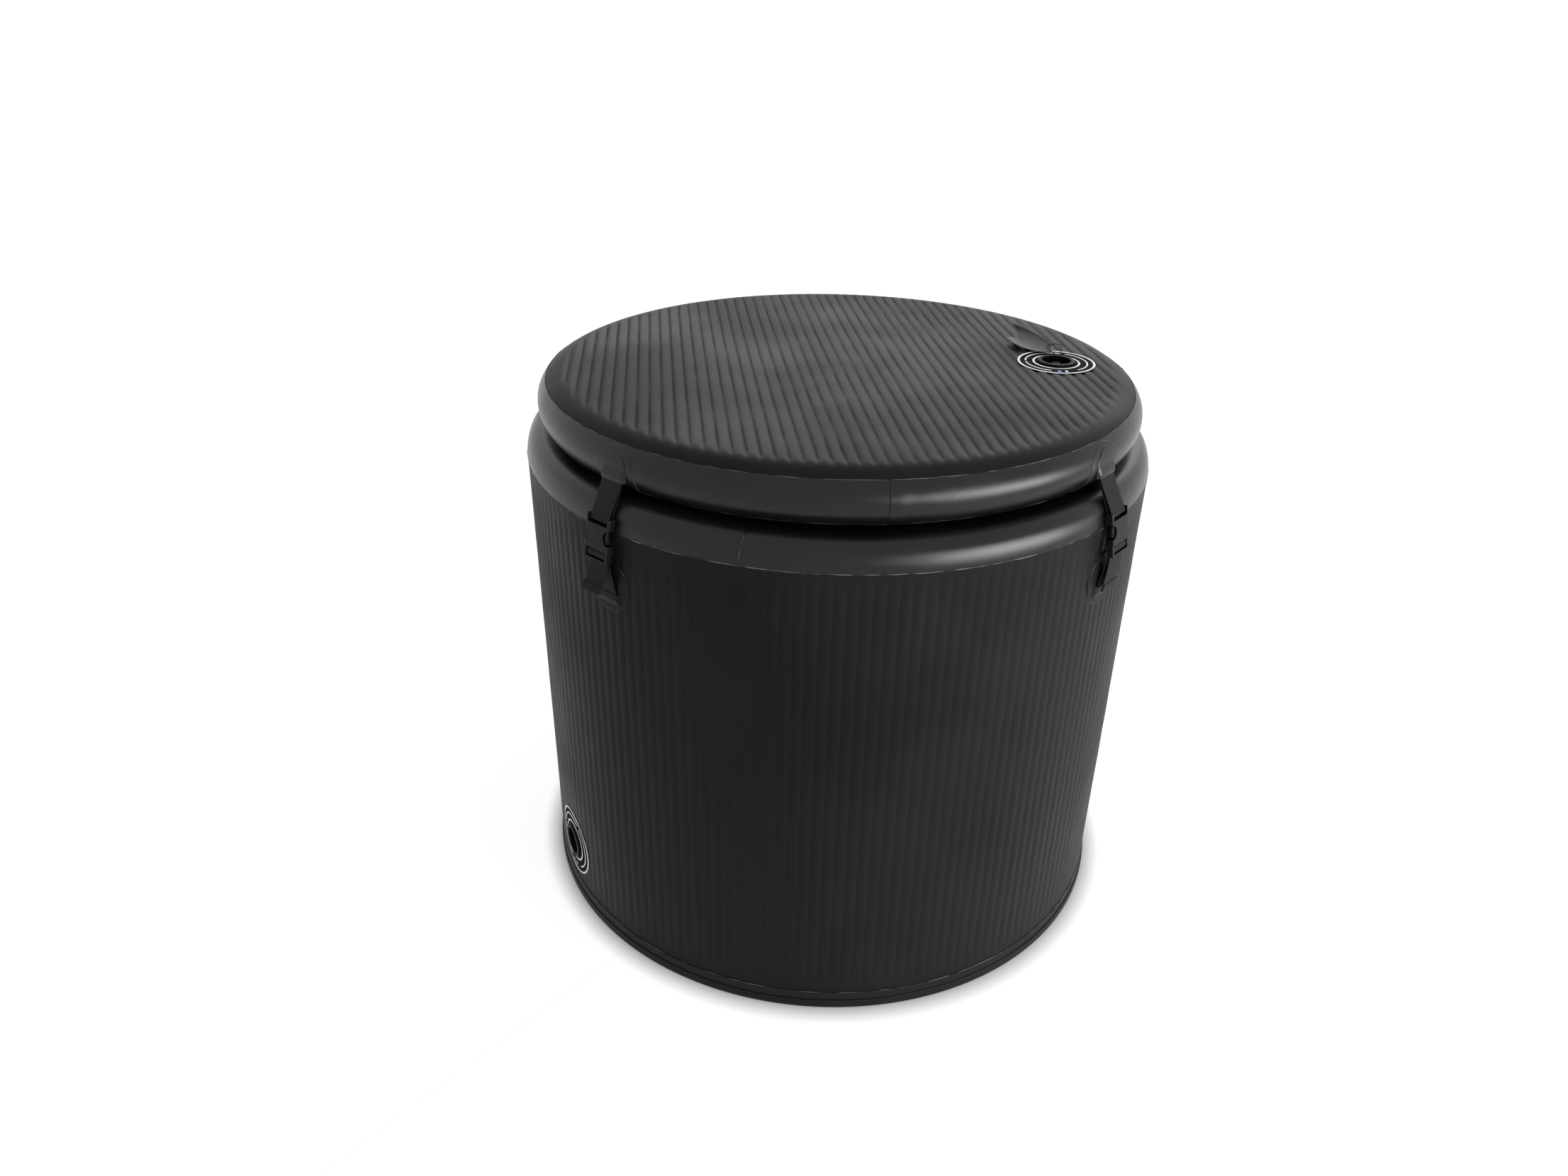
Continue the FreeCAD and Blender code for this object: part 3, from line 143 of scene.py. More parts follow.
class StageSettings(bpy.types.PropertyGroup):
    lens: FloatProperty(name="Lens", description="Focal length on a 36 mm wide sensor, in millimetres",
                        default=26.097, unit="CAMERA")
    floor: colour_of("Floor", "Pale floor", (0.80, 0.80, 0.80))
    window: FloatProperty(name="Window", description="Power of the soft light on the right", default=62.0,
                          unit="POWER")
    overhead: FloatProperty(name="Overhead", description="Power of the soft light above", default=20.0,
                            unit="POWER")
    sky: FloatProperty(name="Sky", description="Strength of the light from all round", default=0.8)


class Field:
    """A value in a node tree, worked on with the usual signs."""

    def __init__(self, wiring, socket):
        self.wiring, self.socket = wiring, socket

    def __add__(self, other):
        return self.wiring.math("ADD", self, other)

    def __sub__(self, other):
        return self.wiring.math("SUBTRACT", self, other)

    def __rsub__(self, other):
        return self.wiring.math("SUBTRACT", other, self)

    def __mul__(self, other):
        return self.wiring.math("MULTIPLY", self, other)

    def __truediv__(self, other):
        return self.wiring.math("DIVIDE", self, other)


class Wiring:
    """Adds and joins nodes in one tree."""

    def __init__(self, tree):
        self.tree = tree

    @classmethod
    def group(cls, name, kind, inputs, outputs):
        """A new node group with its entry and exit."""
        tree = bpy.data.node_groups.new(name, kind)
        for label, socket_type, default in inputs:
            socket = tree.interface.new_socket(label, in_out="INPUT", socket_type=socket_type)
            if default is not None:
                socket.default_value = default
        for label, socket_type in outputs:
            tree.interface.new_socket(label, in_out="OUTPUT", socket_type=socket_type)
        made = cls(tree)
        made.entry = made.fields(tree.nodes.new("NodeGroupInput"))
        made.exit = tree.nodes.new("NodeGroupOutput").inputs
        return made

    def fields(self, node):
        """All outputs of a node, by name."""
        return {socket.name: Field(self, socket) for socket in node.outputs}

    def feed(self, socket, value):
        """Links a field to a socket, or sets a plain value there."""
        if isinstance(value, Field):
            self.tree.links.new(value.socket, socket)
        else:
            socket.default_value = value

    def node(self, kind, sockets=(), **settings):
        """A new node with its settings and what feeds it."""
        made = self.tree.nodes.new(kind)
        for key, value in settings.items():
            setattr(made, key, value)
        for label, value in dict(sockets).items():
            self.feed(made.inputs[label], value)
        return made

    def out(self, kind, sockets=(), output=0, **settings):
        """One output of a new node."""
        return Field(self, self.node(kind, sockets, **settings).outputs[output])

    def math(self, operation, *values):
        return self.out("ShaderNodeMath", dict(enumerate(values)), operation=operation)

    def vector(self, x, y, z=0.0):
        return self.out("ShaderNodeCombineXYZ", {"X": x, "Y": y, "Z": z})

    def parts(self, vector):
        return self.fields(self.node("ShaderNodeSeparateXYZ", {"Vector": vector}))

    def length(self, x, y):
        return self.math("SQRT", x * x + y * y)

    def remap(self, value, low, high, to_low=0.0, to_high=1.0, kind="SMOOTHSTEP"):
        ranges = {"Value": value, "From Min": low, "From Max": high, "To Min": to_low, "To Max": to_high}
        return self.out("ShaderNodeMapRange", ranges, interpolation_type=kind)

    def cloud(self, vector, scale, detail=2.0):
        return self.out("ShaderNodeTexNoise", {"Vector": vector, "Scale": scale, "Detail": detail})


# Meshes
def grown(name, tree, values):
    """Runs a Geometry Nodes tree once and keeps its result as a plain mesh object."""
    seed = bpy.data.objects.new(name + "_seed", bpy.data.meshes.new(name + "_seed"))
    bpy.context.scene.collection.objects.link(seed)
    modifier = seed.modifiers.new("Grow", "NODES")
    modifier.node_group = tree
    for item in tree.interface.items_tree:
        if item.item_type == "SOCKET" and item.in_out == "INPUT" and item.name in values:
            modifier[item.identifier] = values[item.name]
    graph = bpy.context.evaluated_depsgraph_get()
    mesh = bpy.data.meshes.new_from_object(seed.evaluated_get(graph))
    bpy.data.objects.remove(seed)
    mesh.name = name
    return placed(name, mesh)


def placed(name, mesh):
    """An object at the origin for a finished mesh."""
    piece = bpy.data.objects.new(name, mesh)
    bpy.context.scene.collection.objects.link(piece)
    return piece


def solid(name, vertices, faces, flat=None, finishes=(), face_finishes=None, sharp=50.0):
    """A mesh object from points and faces; flat gives each point's place on the uncut cloth."""
    mesh = bpy.data.meshes.new(name)
    mesh.from_pydata([tuple(point) for point in vertices], [], faces)
    if flat is not None:
        layer = mesh.uv_layers.new(name="surface")
        for loop in mesh.loops:
            layer.data[loop.index].uv = flat[loop.vertex_index]
    for finish in finishes:
        mesh.materials.append(finish)
    if face_finishes is not None:
        mesh.polygons.foreach_set("material_index", face_finishes)
    work = bmesh.new()
    work.from_mesh(mesh)
    bmesh.ops.remove_doubles(work, verts=work.verts, dist=1e-6)
    bmesh.ops.recalc_face_normals(work, faces=work.faces)
    work.to_mesh(mesh)
    work.free()
    mesh.shade_smooth()
    mesh.set_sharp_from_angle(angle=math.radians(sharp))
    return placed(name, mesh)


def dressed(piece, body, slot, *nodes):
    """Ties a finished piece to its body and hides the nodes that it stands for; the slot is not used."""
    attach(piece, body)
    if nodes:
        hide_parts(*nodes)


def joined(name, pieces):
    """One object from several made the same way."""
    work = bmesh.new()
    for piece in pieces:
        work.from_mesh(piece.data)
    mesh = bpy.data.meshes.new(name)
    for material in pieces[0].data.materials:
        mesh.materials.append(material)
    work.to_mesh(mesh)
    work.free()
    for piece in pieces:
        bpy.data.objects.remove(piece)
    return placed(name, mesh)


def carried(piece, degrees):
    """Turns a piece made at the front round to its own angle, in its mesh."""
    piece.data.transform(Matrix.Rotation(math.radians(degrees + 90.0), 4, "Z"))
    return piece


def arc(centre, radius, start, end, steps):
    """Points of a section, at angles above the horizontal."""
    turns = [math.radians(start + (end - start) * step / steps) for step in range(steps + 1)]
    return [(centre[0] + radius * math.cos(turn), centre[1] + radius * math.sin(turn)) for turn in turns]


def runs(path):
    """The distance of each point along a path."""
    run = [0.0]
    for (r0, z0), (r1, z1) in zip(path, path[1:]):
        run.append(run[-1] + math.hypot(r1 - r0, z1 - z0))
    return run


def polar(r, angle, z):
    """A point at an angle round the tub's axis."""
    return (r * math.cos(angle), r * math.sin(angle), z)


def tube(rings, around, looped=False):
    """Faces between rings of points, with both ends closed unless the last ring meets the first."""
    faces = []
    for ring in range(rings if looped else rings - 1):
        here, there = ring * around, (ring + 1) % rings * around
        for index in range(around):
            after = (index + 1) % around
            faces.append((here + index, here + after, there + after, there + index))
    if not looped:
        last = (rings - 1) * around
        faces += [tuple(range(around)), tuple(last + index for index in reversed(range(around)))]
    return faces


def spread(name, turns, section, lift, finish):
    """Turns a closed section about the tub's axis; lift moves a point out, up and round by its angle and place."""
    vertices, flat, run = [], [], runs(section)
    widest = max(r for r, z in section)
    for turn in turns:
        for index, (r, z) in enumerate(section):
            out, up, slip = lift(turn, z, index)
            vertices.append(polar(r + out, math.radians(turn + slip), z + up))
            flat.append((math.radians(turn) * widest, run[index]))
    return solid(name, vertices, tube(len(turns), len(section), True), flat, [finish])


def round_turns(steps, joint=None):
    """Angles round the tub, with a close pair where a band's end makes a step."""
    turns = [-180.0 + 360.0 * step / steps for step in range(steps)]
    if joint is not None:
        turns = [turn for turn in turns if abs(turn - joint) > 0.2] + [joint - 0.02, joint + 0.02]
    return sorted(turns)


def ripple(turn, z, size, seed):
    """A slow unevenness round the tub, the same on every run."""
    return noise.noise(Vector(polar(size, math.radians(turn), z * size * 2.0 + seed)))


def soft_step(value, start, end):
    """A smooth rise from nothing at the start to one at the end."""
    share = min(max((value - start) / (end - start), 0.0), 1.0)
    return share * share * (3.0 - 2.0 * share)


def slack(turn, z, share, calm, size, seed):
    """The unevenness of a smooth band, held down near its seams."""
    free = soft_step(share, 0.0, calm[0]) * (1.0 - soft_step(share, calm[1], calm[2]))
    return BAND_UNEVENNESS * ripple(turn, z, size, seed) * free


def overlap(turn, joint, ramp, wide, high):
    """How far a band's end stands up where it covers the band's start."""
    return high * (1.0 - soft_step(turn, joint + ramp, joint + wide)) if joint < turn < joint + wide else 0.0


# Shader groups
def surface_group(name, size, default, output):
    """A shader group that reads a place and one size."""
    return Wiring.group(name, "ShaderNodeTree", [("Vector", "NodeSocketVector", None),
                                                 (size, "NodeSocketFloat", default)], [(output, "NodeSocketFloat")])


def weave_group():
    """Threads of the base fabric that show through its coating."""
    group = surface_group("Woven base", "Thread", 0.0016, "Height")
    place = group.parts(group.entry["Vector"])
    warp, weft = (group.math("SINE", place[axis] * math.tau / group.entry["Thread"]) for axis in "XY")
    group.feed(group.exit["Height"], (warp + warp * weft) * 0.25 + 0.5)
    return group.tree


def handling_group():
    """Smudges that vary the tone and the gloss."""
    group = surface_group("Handling marks", "Scale", 4.0, "Marks")
    smudges = group.cloud(group.entry["Vector"], group.entry["Scale"], 4.0)
    group.feed(group.exit["Marks"], group.remap(smudges, 0.35, 0.68))
    return group.tree


def grain_group():
    """Fine grain of a moulded surface."""
    group = surface_group("Moulded grain", "Scale", 900.0, "Height")
    group.feed(group.exit["Height"], group.cloud(group.entry["Vector"], group.entry["Scale"], 3.0))
    return group.tree


class Finish(Wiring):
    """A material with one glossy shader, whose colour, gloss and relief come from shared groups."""

    def __init__(self, name, colour, rough, specular):
        material = bpy.data.materials.new(name)
        material.use_nodes = True
        super().__init__(material.node_tree)
        self.shader = self.tree.nodes["Principled BSDF"].inputs
        self.shader["Specular IOR Level"].default_value = specular
        self.colour, self.rough = colour, rough
        self.cloth = self.out("ShaderNodeUVMap", output="UV", uv_map="surface")
        self.object = self.out("ShaderNodeTexCoord", output="Object")

    def use(self, name, make, sockets):
        """The output of a shared group, made when it is first used."""
        return self.out("ShaderNodeGroup", sockets, node_tree=bpy.data.node_groups.get(name) or make())

    def handled(self, scale, darker, lighter, rough_spread):
        """Marks move the colour between two shades of itself, and the gloss about its middle."""
        marks = self.use("Handling marks", handling_group, {"Vector": self.object, "Scale": scale})
        shades = [tuple(value * share for value in self.colour) + (1.0,) for share in (darker, lighter)]
        tone = self.out("ShaderNodeMix", {"Factor": marks, 6: shades[0], 7: shades[1]}, 2, data_type="RGBA")
        self.feed(self.shader["Base Color"], tone)
        self.feed(self.shader["Roughness"], self.remap(marks, 0.0, 1.0, self.rough - rough_spread,
                                                       self.rough + rough_spread, "LINEAR"))

    def raised(self, height, distance, **more):
        """Relief from a height, over any relief that was there before."""
        bump = self.out("ShaderNodeBump", {"Height": height, "Distance": distance, **more})
        self.feed(self.shader["Normal"], bump)
        return bump


def pvc(name, colour, rough, specular, thread, relief):
    """Coated fabric: faint weave, smudges and a slow unevenness."""
    finish = Finish(name, colour, rough, specular)
    finish.handled(5.0, 0.8, 1.25, 0.05)
    weave = finish.use("Woven base", weave_group, {"Vector": finish.cloth, "Thread": thread})
    under = finish.raised(weave, relief)
    finish.raised(finish.cloud(finish.object, 55.0, 3.0), 0.00012, Strength=0.6, Normal=under)


def webbing_stuff(name, colour, rib):
    """Woven webbing: threads across and along, darker and paler in places."""
    finish = Finish(name, colour, 0.6, 0.18)
    finish.handled(40.0, 0.7, 1.5, 0.06)
    finish.raised(finish.use("Woven base", weave_group, {"Vector": finish.cloth, "Thread": rib * 0.5}), 0.00025)


def moulded(name, colour, rough, specular, grain=900.0, relief=0.00004):
    """Moulded, printed or spun stuff with a fine grain."""
    finish = Finish(name, colour, rough, specular)
    finish.handled(30.0, 0.8, 1.3, 0.05)
    finish.raised(finish.use("Moulded grain", grain_group, {"Vector": finish.object, "Scale": grain}), relief)


def materials():
    """All finishes, made once and looked up by name."""
    if "stitched_skin" not in bpy.data.materials:
        finishes = bpy.context.scene.bath_finishes
        pvc("stitched_skin", finishes.skin, 0.46, 0.08, 0.0016, 0.00006)
        pvc("smooth_band", finishes.band, 0.26, 0.28, 0.0021, 0.00015)
        pvc("patch", finishes.band, 0.34, 0.30, 0.0018, 0.0001)
        pvc("tape", finishes.band, 0.45, 0.16, 0.0018, 0.00006)
        pvc("curled_sheet", finishes.tag, 0.6, 0.16, 0.0016, 0.00003)
        # Stitch colour, darker than the skin: partly the thread's own tone and partly painted shade of the stitch
        # holes.
        moulded("stitch", tuple(value * 0.6 for value in finishes.skin), 0.5, 0.08)
        moulded("seam_glue", finishes.seam, 0.40, 0.4, 400.0, 0.0001)
        moulded("moulded_buckle", finishes.plastic, 0.36, 0.16)
        moulded("moulded_valve", finishes.plastic, 0.5, 0.07)
        moulded("rubber", finishes.plastic, 0.65, 0.3)
        moulded("label_black", finishes.plastic, 0.7, 0.03, 500.0)
        moulded("label_white", finishes.print_white, 0.45, 0.4, 500.0)
        moulded("label_blue", finishes.print_blue, 0.45, 0.4, 500.0)
        moulded("twisted_cord", finishes.webbing, 0.7, 0.2, 2500.0, 0.0001)
        moulded("raw_yarn", (0.55, 0.54, 0.5), 0.8, 0.2, 2000.0, 0.0001)
        steel = Finish("bare_steel", (0.55, 0.55, 0.56), 0.3, 0.5)
        steel.handled(60.0, 0.85, 1.1, 0.08)
        steel.shader["Metallic"].default_value = 1.0
        webbing_stuff("woven_webbing", finishes.webbing, bpy.context.scene.bath_webbing.rib)
    return bpy.data.materials


# Geometry Nodes trees
SOCKETS = {float: "NodeSocketFloat", int: "NodeSocketInt", bool: "NodeSocketBool"}
TURNED_HOLE = {"Hole turn": 0.0, "Hole height": 0.0, "Hole radius": 0.0}
FLAT_HOLE = {"Hole X": 0.0, "Hole Y": 0.0, "Hole radius": 0.0}
STITCH = {"Stitch across": 0.0014, "Stitch along": 0.0006, "Stitch height": 0.00025, "Jitter": 0.0008, "Seed": 3}


class Growth(Wiring):
    """A Geometry Nodes tree that makes one piece."""

    @classmethod
    def sized(cls, name, sizes):
        """A tree with an input for each size and one for the material."""
        inputs = [(label, SOCKETS[type(value)], value) for label, value in sizes.items()]
        return cls.group(name, "GeometryNodeTree", inputs + [("Material", "NodeSocketMaterial", None)],
                         [("Geometry", "NodeSocketGeometry")])

    def grid(self, wide, long, columns, rows):
        return self.out("GeometryNodeMeshGrid", {"Size X": wide, "Size Y": long, "Vertices X": columns,
                                                 "Vertices Y": rows})

    def place(self):
        """The parts of each point's position."""
        return self.parts(self.out("GeometryNodeInputPosition"))

    def swell(self, count):
        """The rise of a rib between two grooves, which lie at whole numbers."""
        phase = self.math("FRACT", count)
        return phase * (1.0 - phase) * 4.0

    def mapped(self, geometry, place):
        """Keeps each corner's place on the uncut cloth."""
        return self.out("GeometryNodeStoreNamedAttribute", {"Geometry": geometry, "Name": "surface", "Value": place},
                        data_type="FLOAT2", domain="CORNER")

    def moved(self, geometry, position):
        return self.out("GeometryNodeSetPosition", {"Geometry": geometry, "Position": position})

    def turned(self, geometry):
        return self.out("GeometryNodeTransform", {
            "Geometry": geometry, "Rotation": self.vector(0.0, 0.0, self.entry["Turn"])})

    def without(self, geometry, selection):
        return self.out("GeometryNodeDeleteGeometry", {"Geometry": geometry, "Selection": selection})

    def opened(self, geometry, aside, above):
        """Leaves out what lies inside the valve's hole, given the distances from its middle."""
        inside = self.math("LESS_THAN", self.length(aside, above), self.entry["Hole radius"])
        return self.without(geometry, inside)

    def skinned(self, geometry, merge):
        """A finished skin: its seam closed and its faces turned the right way."""
        closed = self.out("GeometryNodeMergeByDistance", {"Geometry": geometry, "Distance": merge})
        return self.finished(self.out("GeometryNodeFlipFaces", {"Mesh": closed, "Selection": self.entry["Inward"]}))

    def shaken(self):
        """A small random slip along the groove."""
        draw = self.out("FunctionNodeRandomValue", {"Seed": self.entry["Seed"]}, 1)
        return (draw - 0.5) * self.entry["Jitter"]

    def stitched(self, points, rotation):
        """A short thread across the groove at each point."""
        knot = self.out("GeometryNodeMeshCone", {
            "Vertices": 4, "Radius Top": 0.0, "Radius Bottom": 1.0, "Depth": 1.0})
        sizes = self.vector(*(self.entry["Stitch " + side] for side in ("across", "along", "height")))
        spun = self.out("FunctionNodeEulerToRotation", {"Euler": rotation})
        return self.out("GeometryNodeInstanceOnPoints", {
            "Points": points, "Instance": knot, "Rotation": spun, "Scale": sizes})

    def finished(self, geometry):
        """Smooth faces, no instances left, and the material."""
        real = self.out("GeometryNodeRealizeInstances", {"Geometry": geometry})
        smooth = self.out("GeometryNodeSetShadeSmooth", {"Geometry": real})
        stuff = self.out("GeometryNodeSetMaterial", {"Geometry": smooth, "Material": self.entry["Material"]})
        self.feed(self.exit["Geometry"], stuff)
        return self.tree


def ribbed_wall_tree():
    """A round wall whose ribs swell between stitched grooves and run out at both seams."""
    tree = Growth.sized("Ribbed wall", {
        "Radius": 0.45, "Low": 0.0, "High": 0.7, "Ribs": 180, "Rib depth": 0.0015, "Facing": 1.0, "Inward": False,
        "Steps per rib": 8, "Rows": 40, "Fade": 0.03, "Unevenness": 0.001, **TURNED_HOLE})
    given = tree.entry
    grid = tree.grid(1.0, 1.0, given["Ribs"] * given["Steps per rib"] + 1.0, given["Rows"])
    place = tree.place()
    share, level = place["X"] + 0.5, place["Y"] + 0.5
    tall = given["High"] - given["Low"]
    height = level * tall + given["Low"]
    turn = share * math.tau - math.pi
    across, along = tree.math("COSINE", turn), tree.math("SINE", turn)
    fade = tree.remap(tree.math("MINIMUM", level, 1.0 - level) * tall, 0.0, given["Fade"])
    uneven = (tree.cloud(tree.vector(across, along, height), 14.0) - 0.5) * fade * given["Unevenness"]
    sunk = (1.0 - tree.swell(share * given["Ribs"])) * fade * given["Rib depth"]
    radius = (uneven - sunk) * given["Facing"] + given["Radius"]
    mapped = tree.mapped(grid, tree.vector(turn * given["Radius"], height))
    aside = (turn - given["Hole turn"]) * given["Radius"]
    sheet = tree.opened(mapped, aside, height - given["Hole height"])
    return tree.skinned(tree.moved(sheet, tree.vector(radius * across, radius * along, height)), 1e-5)


def wall_stitches_tree():
    """Rows of stitches in the wall's grooves."""
    tree = Growth.sized("Wall stitches", {
        "Radius": 0.4485, "Low": 0.05, "High": 0.67, "Rows": 100, "Ribs": 180, "Facing": 1.0,
        **TURNED_HOLE, **STITCH})
    given = tree.entry
    place = tree.place()
    turn = (place["X"] + 0.5) * ((given["Ribs"] - 1.0) / given["Ribs"]) * math.tau
    height = (place["Y"] + 0.5) * (given["High"] - given["Low"]) + given["Low"] + tree.shaken()
    bent = tree.moved(tree.grid(1.0, 1.0, given["Ribs"], given["Rows"]), tree.vector(
        given["Radius"] * tree.math("COSINE", turn), given["Radius"] * tree.math("SINE", turn), height))
    spots = tree.out("GeometryNodeMeshToPoints", {"Mesh": bent})
    around = tree.math("ARCTAN2", place["Y"], place["X"])
    aside = (around - given["Hole turn"]) * given["Radius"]
    spots = tree.opened(spots, aside, place["Z"] - given["Hole height"])
    facing = given["Facing"] * (math.pi / 2) + around
    return tree.finished(tree.stitched(spots, tree.vector(math.pi / 2, 0.0, facing)))


def ribbed_lid_tree():
    """A round sheet of straight ribs that runs out into a smooth rolled margin."""
    tree = Growth.sized("Ribbed lid", {
        "Level": 0.812, "Facing": 1.0, "Inward": False, "Flat radius": 0.39, "Round": 0.0393, "Edge radius": 0.417,
        "Pitch": 0.0161, "Turn": 0.04, "Rib depth": 0.0015, "Sink": 0.0007, "Columns": 415, "Rows": 65,
        "Unevenness": 0.001, "Run out": 0.014, "Run in": 0.008, **FLAT_HOLE})
    given = tree.entry
    place = tree.place()
    x = place["X"] * given["Edge radius"]
    chord = tree.math("SQRT", tree.math("MAXIMUM", given["Edge radius"] * given["Edge radius"] - x * x, 0.0))
    y = (place["Y"] * 1.5 - place["Y"] * place["Y"] * place["Y"] * 0.5) * chord
    reach = tree.length(x, y)
    outside = tree.math("MAXIMUM", reach - given["Flat radius"], 0.0)
    rolled = given["Round"] * given["Round"] - outside * outside
    drop = given["Round"] - tree.math("SQRT", tree.math("MAXIMUM", rolled, 0.0))
    fade = tree.remap(reach, given["Flat radius"] + given["Run out"], given["Flat radius"] - given["Run in"])
    uneven = (tree.cloud(tree.vector(x, y, given["Level"]), 16.0) - 0.5) * given["Unevenness"]
    ribs = uneven + (1.0 - tree.swell(x / given["Pitch"] + 100.0)) * given["Rib depth"]
    sunk = (ribs - given["Sink"]) * fade + given["Sink"] + drop
    mapped = tree.mapped(tree.grid(2.0, 2.0, given["Columns"], given["Rows"]), tree.vector(x, y))
    shaped = tree.moved(mapped, tree.vector(x, y, given["Level"] - sunk * given["Facing"]))
    sheet = tree.opened(tree.turned(shaped), place["X"] - given["Hole X"], place["Y"] - given["Hole Y"])
    return tree.skinned(sheet, 1e-6)


def lid_stitches_tree():
    """Rows of stitches in the lid's grooves."""
    tree = Growth.sized("Lid stitches", {
        "Level": 0.81, "Reach": 0.372, "Grooves": 47, "Rows": 129, "Pitch": 0.0161, "Spacing": 0.0058, "Turn": 0.04,
        "Over": 0.0, "Shift": 0.002, "Tilt": -0.3, **FLAT_HOLE, **STITCH})
    given = tree.entry
    place = tree.place()
    grid = tree.grid((given["Grooves"] - 1.0) * given["Pitch"], (given["Rows"] - 1.0) * given["Spacing"],
                     given["Grooves"], given["Rows"])
    moved = tree.moved(grid, tree.vector(place["X"] + given["Shift"], place["Y"] + tree.shaken(), given["Level"]))
    kept = tree.without(moved, tree.math("GREATER_THAN", tree.length(place["X"], place["Y"]), given["Reach"]))
    kept = tree.opened(kept, place["X"] - given["Hole X"], place["Y"] - given["Hole Y"])
    spots = tree.out("GeometryNodeMeshToPoints", {"Mesh": kept})
    return tree.finished(tree.turned(tree.stitched(spots, tree.vector(given["Over"], given["Tilt"], 0.0))))


def seam_bead_tree():
    """An uneven line of glue along a seam, thick and thin by turns."""
    tree = Growth.sized("Seam bead", {
        "Radius": 0.45, "Height": 0.7, "Thickness": 0.0006, "Wander": 0.001, "Seed": 1.0})
    given = tree.entry
    circle = tree.out("GeometryNodeCurvePrimitiveCircle", {"Resolution": 1100, "Radius": given["Radius"]})
    seeded = tree.out("ShaderNodeVectorMath", {0: tree.out("GeometryNodeInputPosition"),
                                               1: tree.vector(0.0, 0.0, given["Seed"])})
    drift = (tree.cloud(seeded, 22.0) - 0.5) * given["Wander"]
    moved = tree.out("GeometryNodeSetPosition", {
        "Geometry": circle, "Offset": tree.vector(0.0, 0.0, drift + given["Height"])})
    thick = tree.remap(tree.cloud(seeded, 45.0, 3.0), 0.42, 0.66, 0.12, 1.0)
    ring = tree.out("GeometryNodeCurvePrimitiveCircle", {"Resolution": 6, "Radius": 1.0})
    return tree.finished(tree.out("GeometryNodeCurveToMesh", {
        "Curve": moved, "Profile Curve": ring, "Scale": thick * given["Thickness"]}))


# Sections and paths
def rim_section(tub, inset):
    """The rim band's outside from the outer seam over the top to the inner seam, in whole or set in."""
    turn = math.asin((tub.height - tub.rim_seam - tub.rim_shoulder) / (tub.rim_flank - tub.rim_shoulder))
    flank = (tub.radius - tub.rim_flank, tub.rim_seam)
    gap = tub.rim_flank - tub.rim_shoulder
    shoulder = (flank[0] + gap * math.cos(turn), flank[1] + gap * math.sin(turn))
    degrees = math.degrees(turn)
    outer = arc(flank, tub.rim_flank - inset, 0.0, degrees, 7)
    outer += arc(shoulder, tub.rim_shoulder - inset, degrees, 90.0, 9)[1:]
    middle = (tub.radius + tub.inner_radius) / 2
    return outer + [(2 * middle - r, z) for r, z in reversed(outer)]


def lid_section(lid, inset):
    """The lid's edge band from its upper seam round to its lower seam."""
    lower_round = lid.top - lid.bottom - lid.upper_round
    middle = lid.top - lid.upper_round
    seam = math.degrees(lid.seam_turn)
    upper = arc((lid.radius - lid.upper_round, middle), lid.upper_round - inset, seam, 0.0, 12)
    return upper + arc((lid.radius - lower_round, middle), lower_round - inset, 0.0, -seam, 12)[1:]


def leaned(r, z):
    """Where a point of the upright buckle goes when its top leans in over the rim."""
    across, rise = r - BUCKLE_BACK, z - BUCKLE_FOOT
    return (BUCKLE_BACK + across * math.cos(BUCKLE_LEAN) - rise * math.sin(BUCKLE_LEAN),
            BUCKLE_FOOT + across * math.sin(BUCKLE_LEAN) + rise * math.cos(BUCKLE_LEAN))


def wrapped(bar, reach, point, side):
    """The angle at which a straight run from a point meets a wrap round a bar."""
    across, rise = point[0] - bar[0], point[1] - bar[1]
    return math.degrees(math.atan2(rise, across) + side * math.acos(reach / math.hypot(across, rise)))


def lid_strap_path(lid, web):
    """Out of the pocket, round the socket's bar and back."""
    inner = web.patch + web.gap + web.thickness / 2
    layer = web.thickness + web.gap
    bar, reach = leaned(BAR_MIDDLE, SOCKET_BAR), SOCKET_BAR_HALF + web.gap + web.thickness / 2
    middle = lid.top - lid.upper_round
    tucked, leave = middle - LID_STRAP_TUCK, middle - LID_STRAP_LEAVE
    slant = math.atan2(bar[0] - lid.radius - inner, leave - bar[1])
    down = [(lid.radius + inner + layer, tucked), (lid.radius + inner + layer, leave)]
    back = [(lid.radius + inner, tucked), (lid.radius + inner, leave - layer * math.tan(slant / 2))]
    loop = arc(bar, reach, wrapped(bar, reach, down[-1], -1), wrapped(bar, reach, back[-1], 1) - 360.0, 9)
    return down + loop + back[::-1]


def wall_strap_path(tub, web, reach, drop):
    """Up from the wall's pocket, over the plug's middle bar and down as a loose tail."""
    half, layer = web.thickness / 2, web.thickness + web.gap
    anchored, behind = tub.radius + web.patch + web.gap + half, BUCKLE_BACK + half
    front = BAR_MIDDLE + PLUG_BAR_HALF + web.gap + half
    upper, lower, below = BUCKLE_FOOT + OVER_BAR, BUCKLE_FOOT + UNDER_BAR, BUCKLE_FOOT - BELOW_FOOT
    ladder = [(behind, below), (behind, upper), (front, upper), (front, lower), (behind + layer, lower),
              (behind + layer, below)]
    path = [(anchored, WALL_STRAP_TUCK), (anchored, WALL_STRAP_LEAVE)] + [leaned(*point) for point in ladder]
    start = path[-1]
    for share, bulge in ((0.35, 0.16), (0.7, 0.52), (1.0, 1.0)):
        path.append((start[0] + reach * bulge, start[1] - drop * share))
    return path


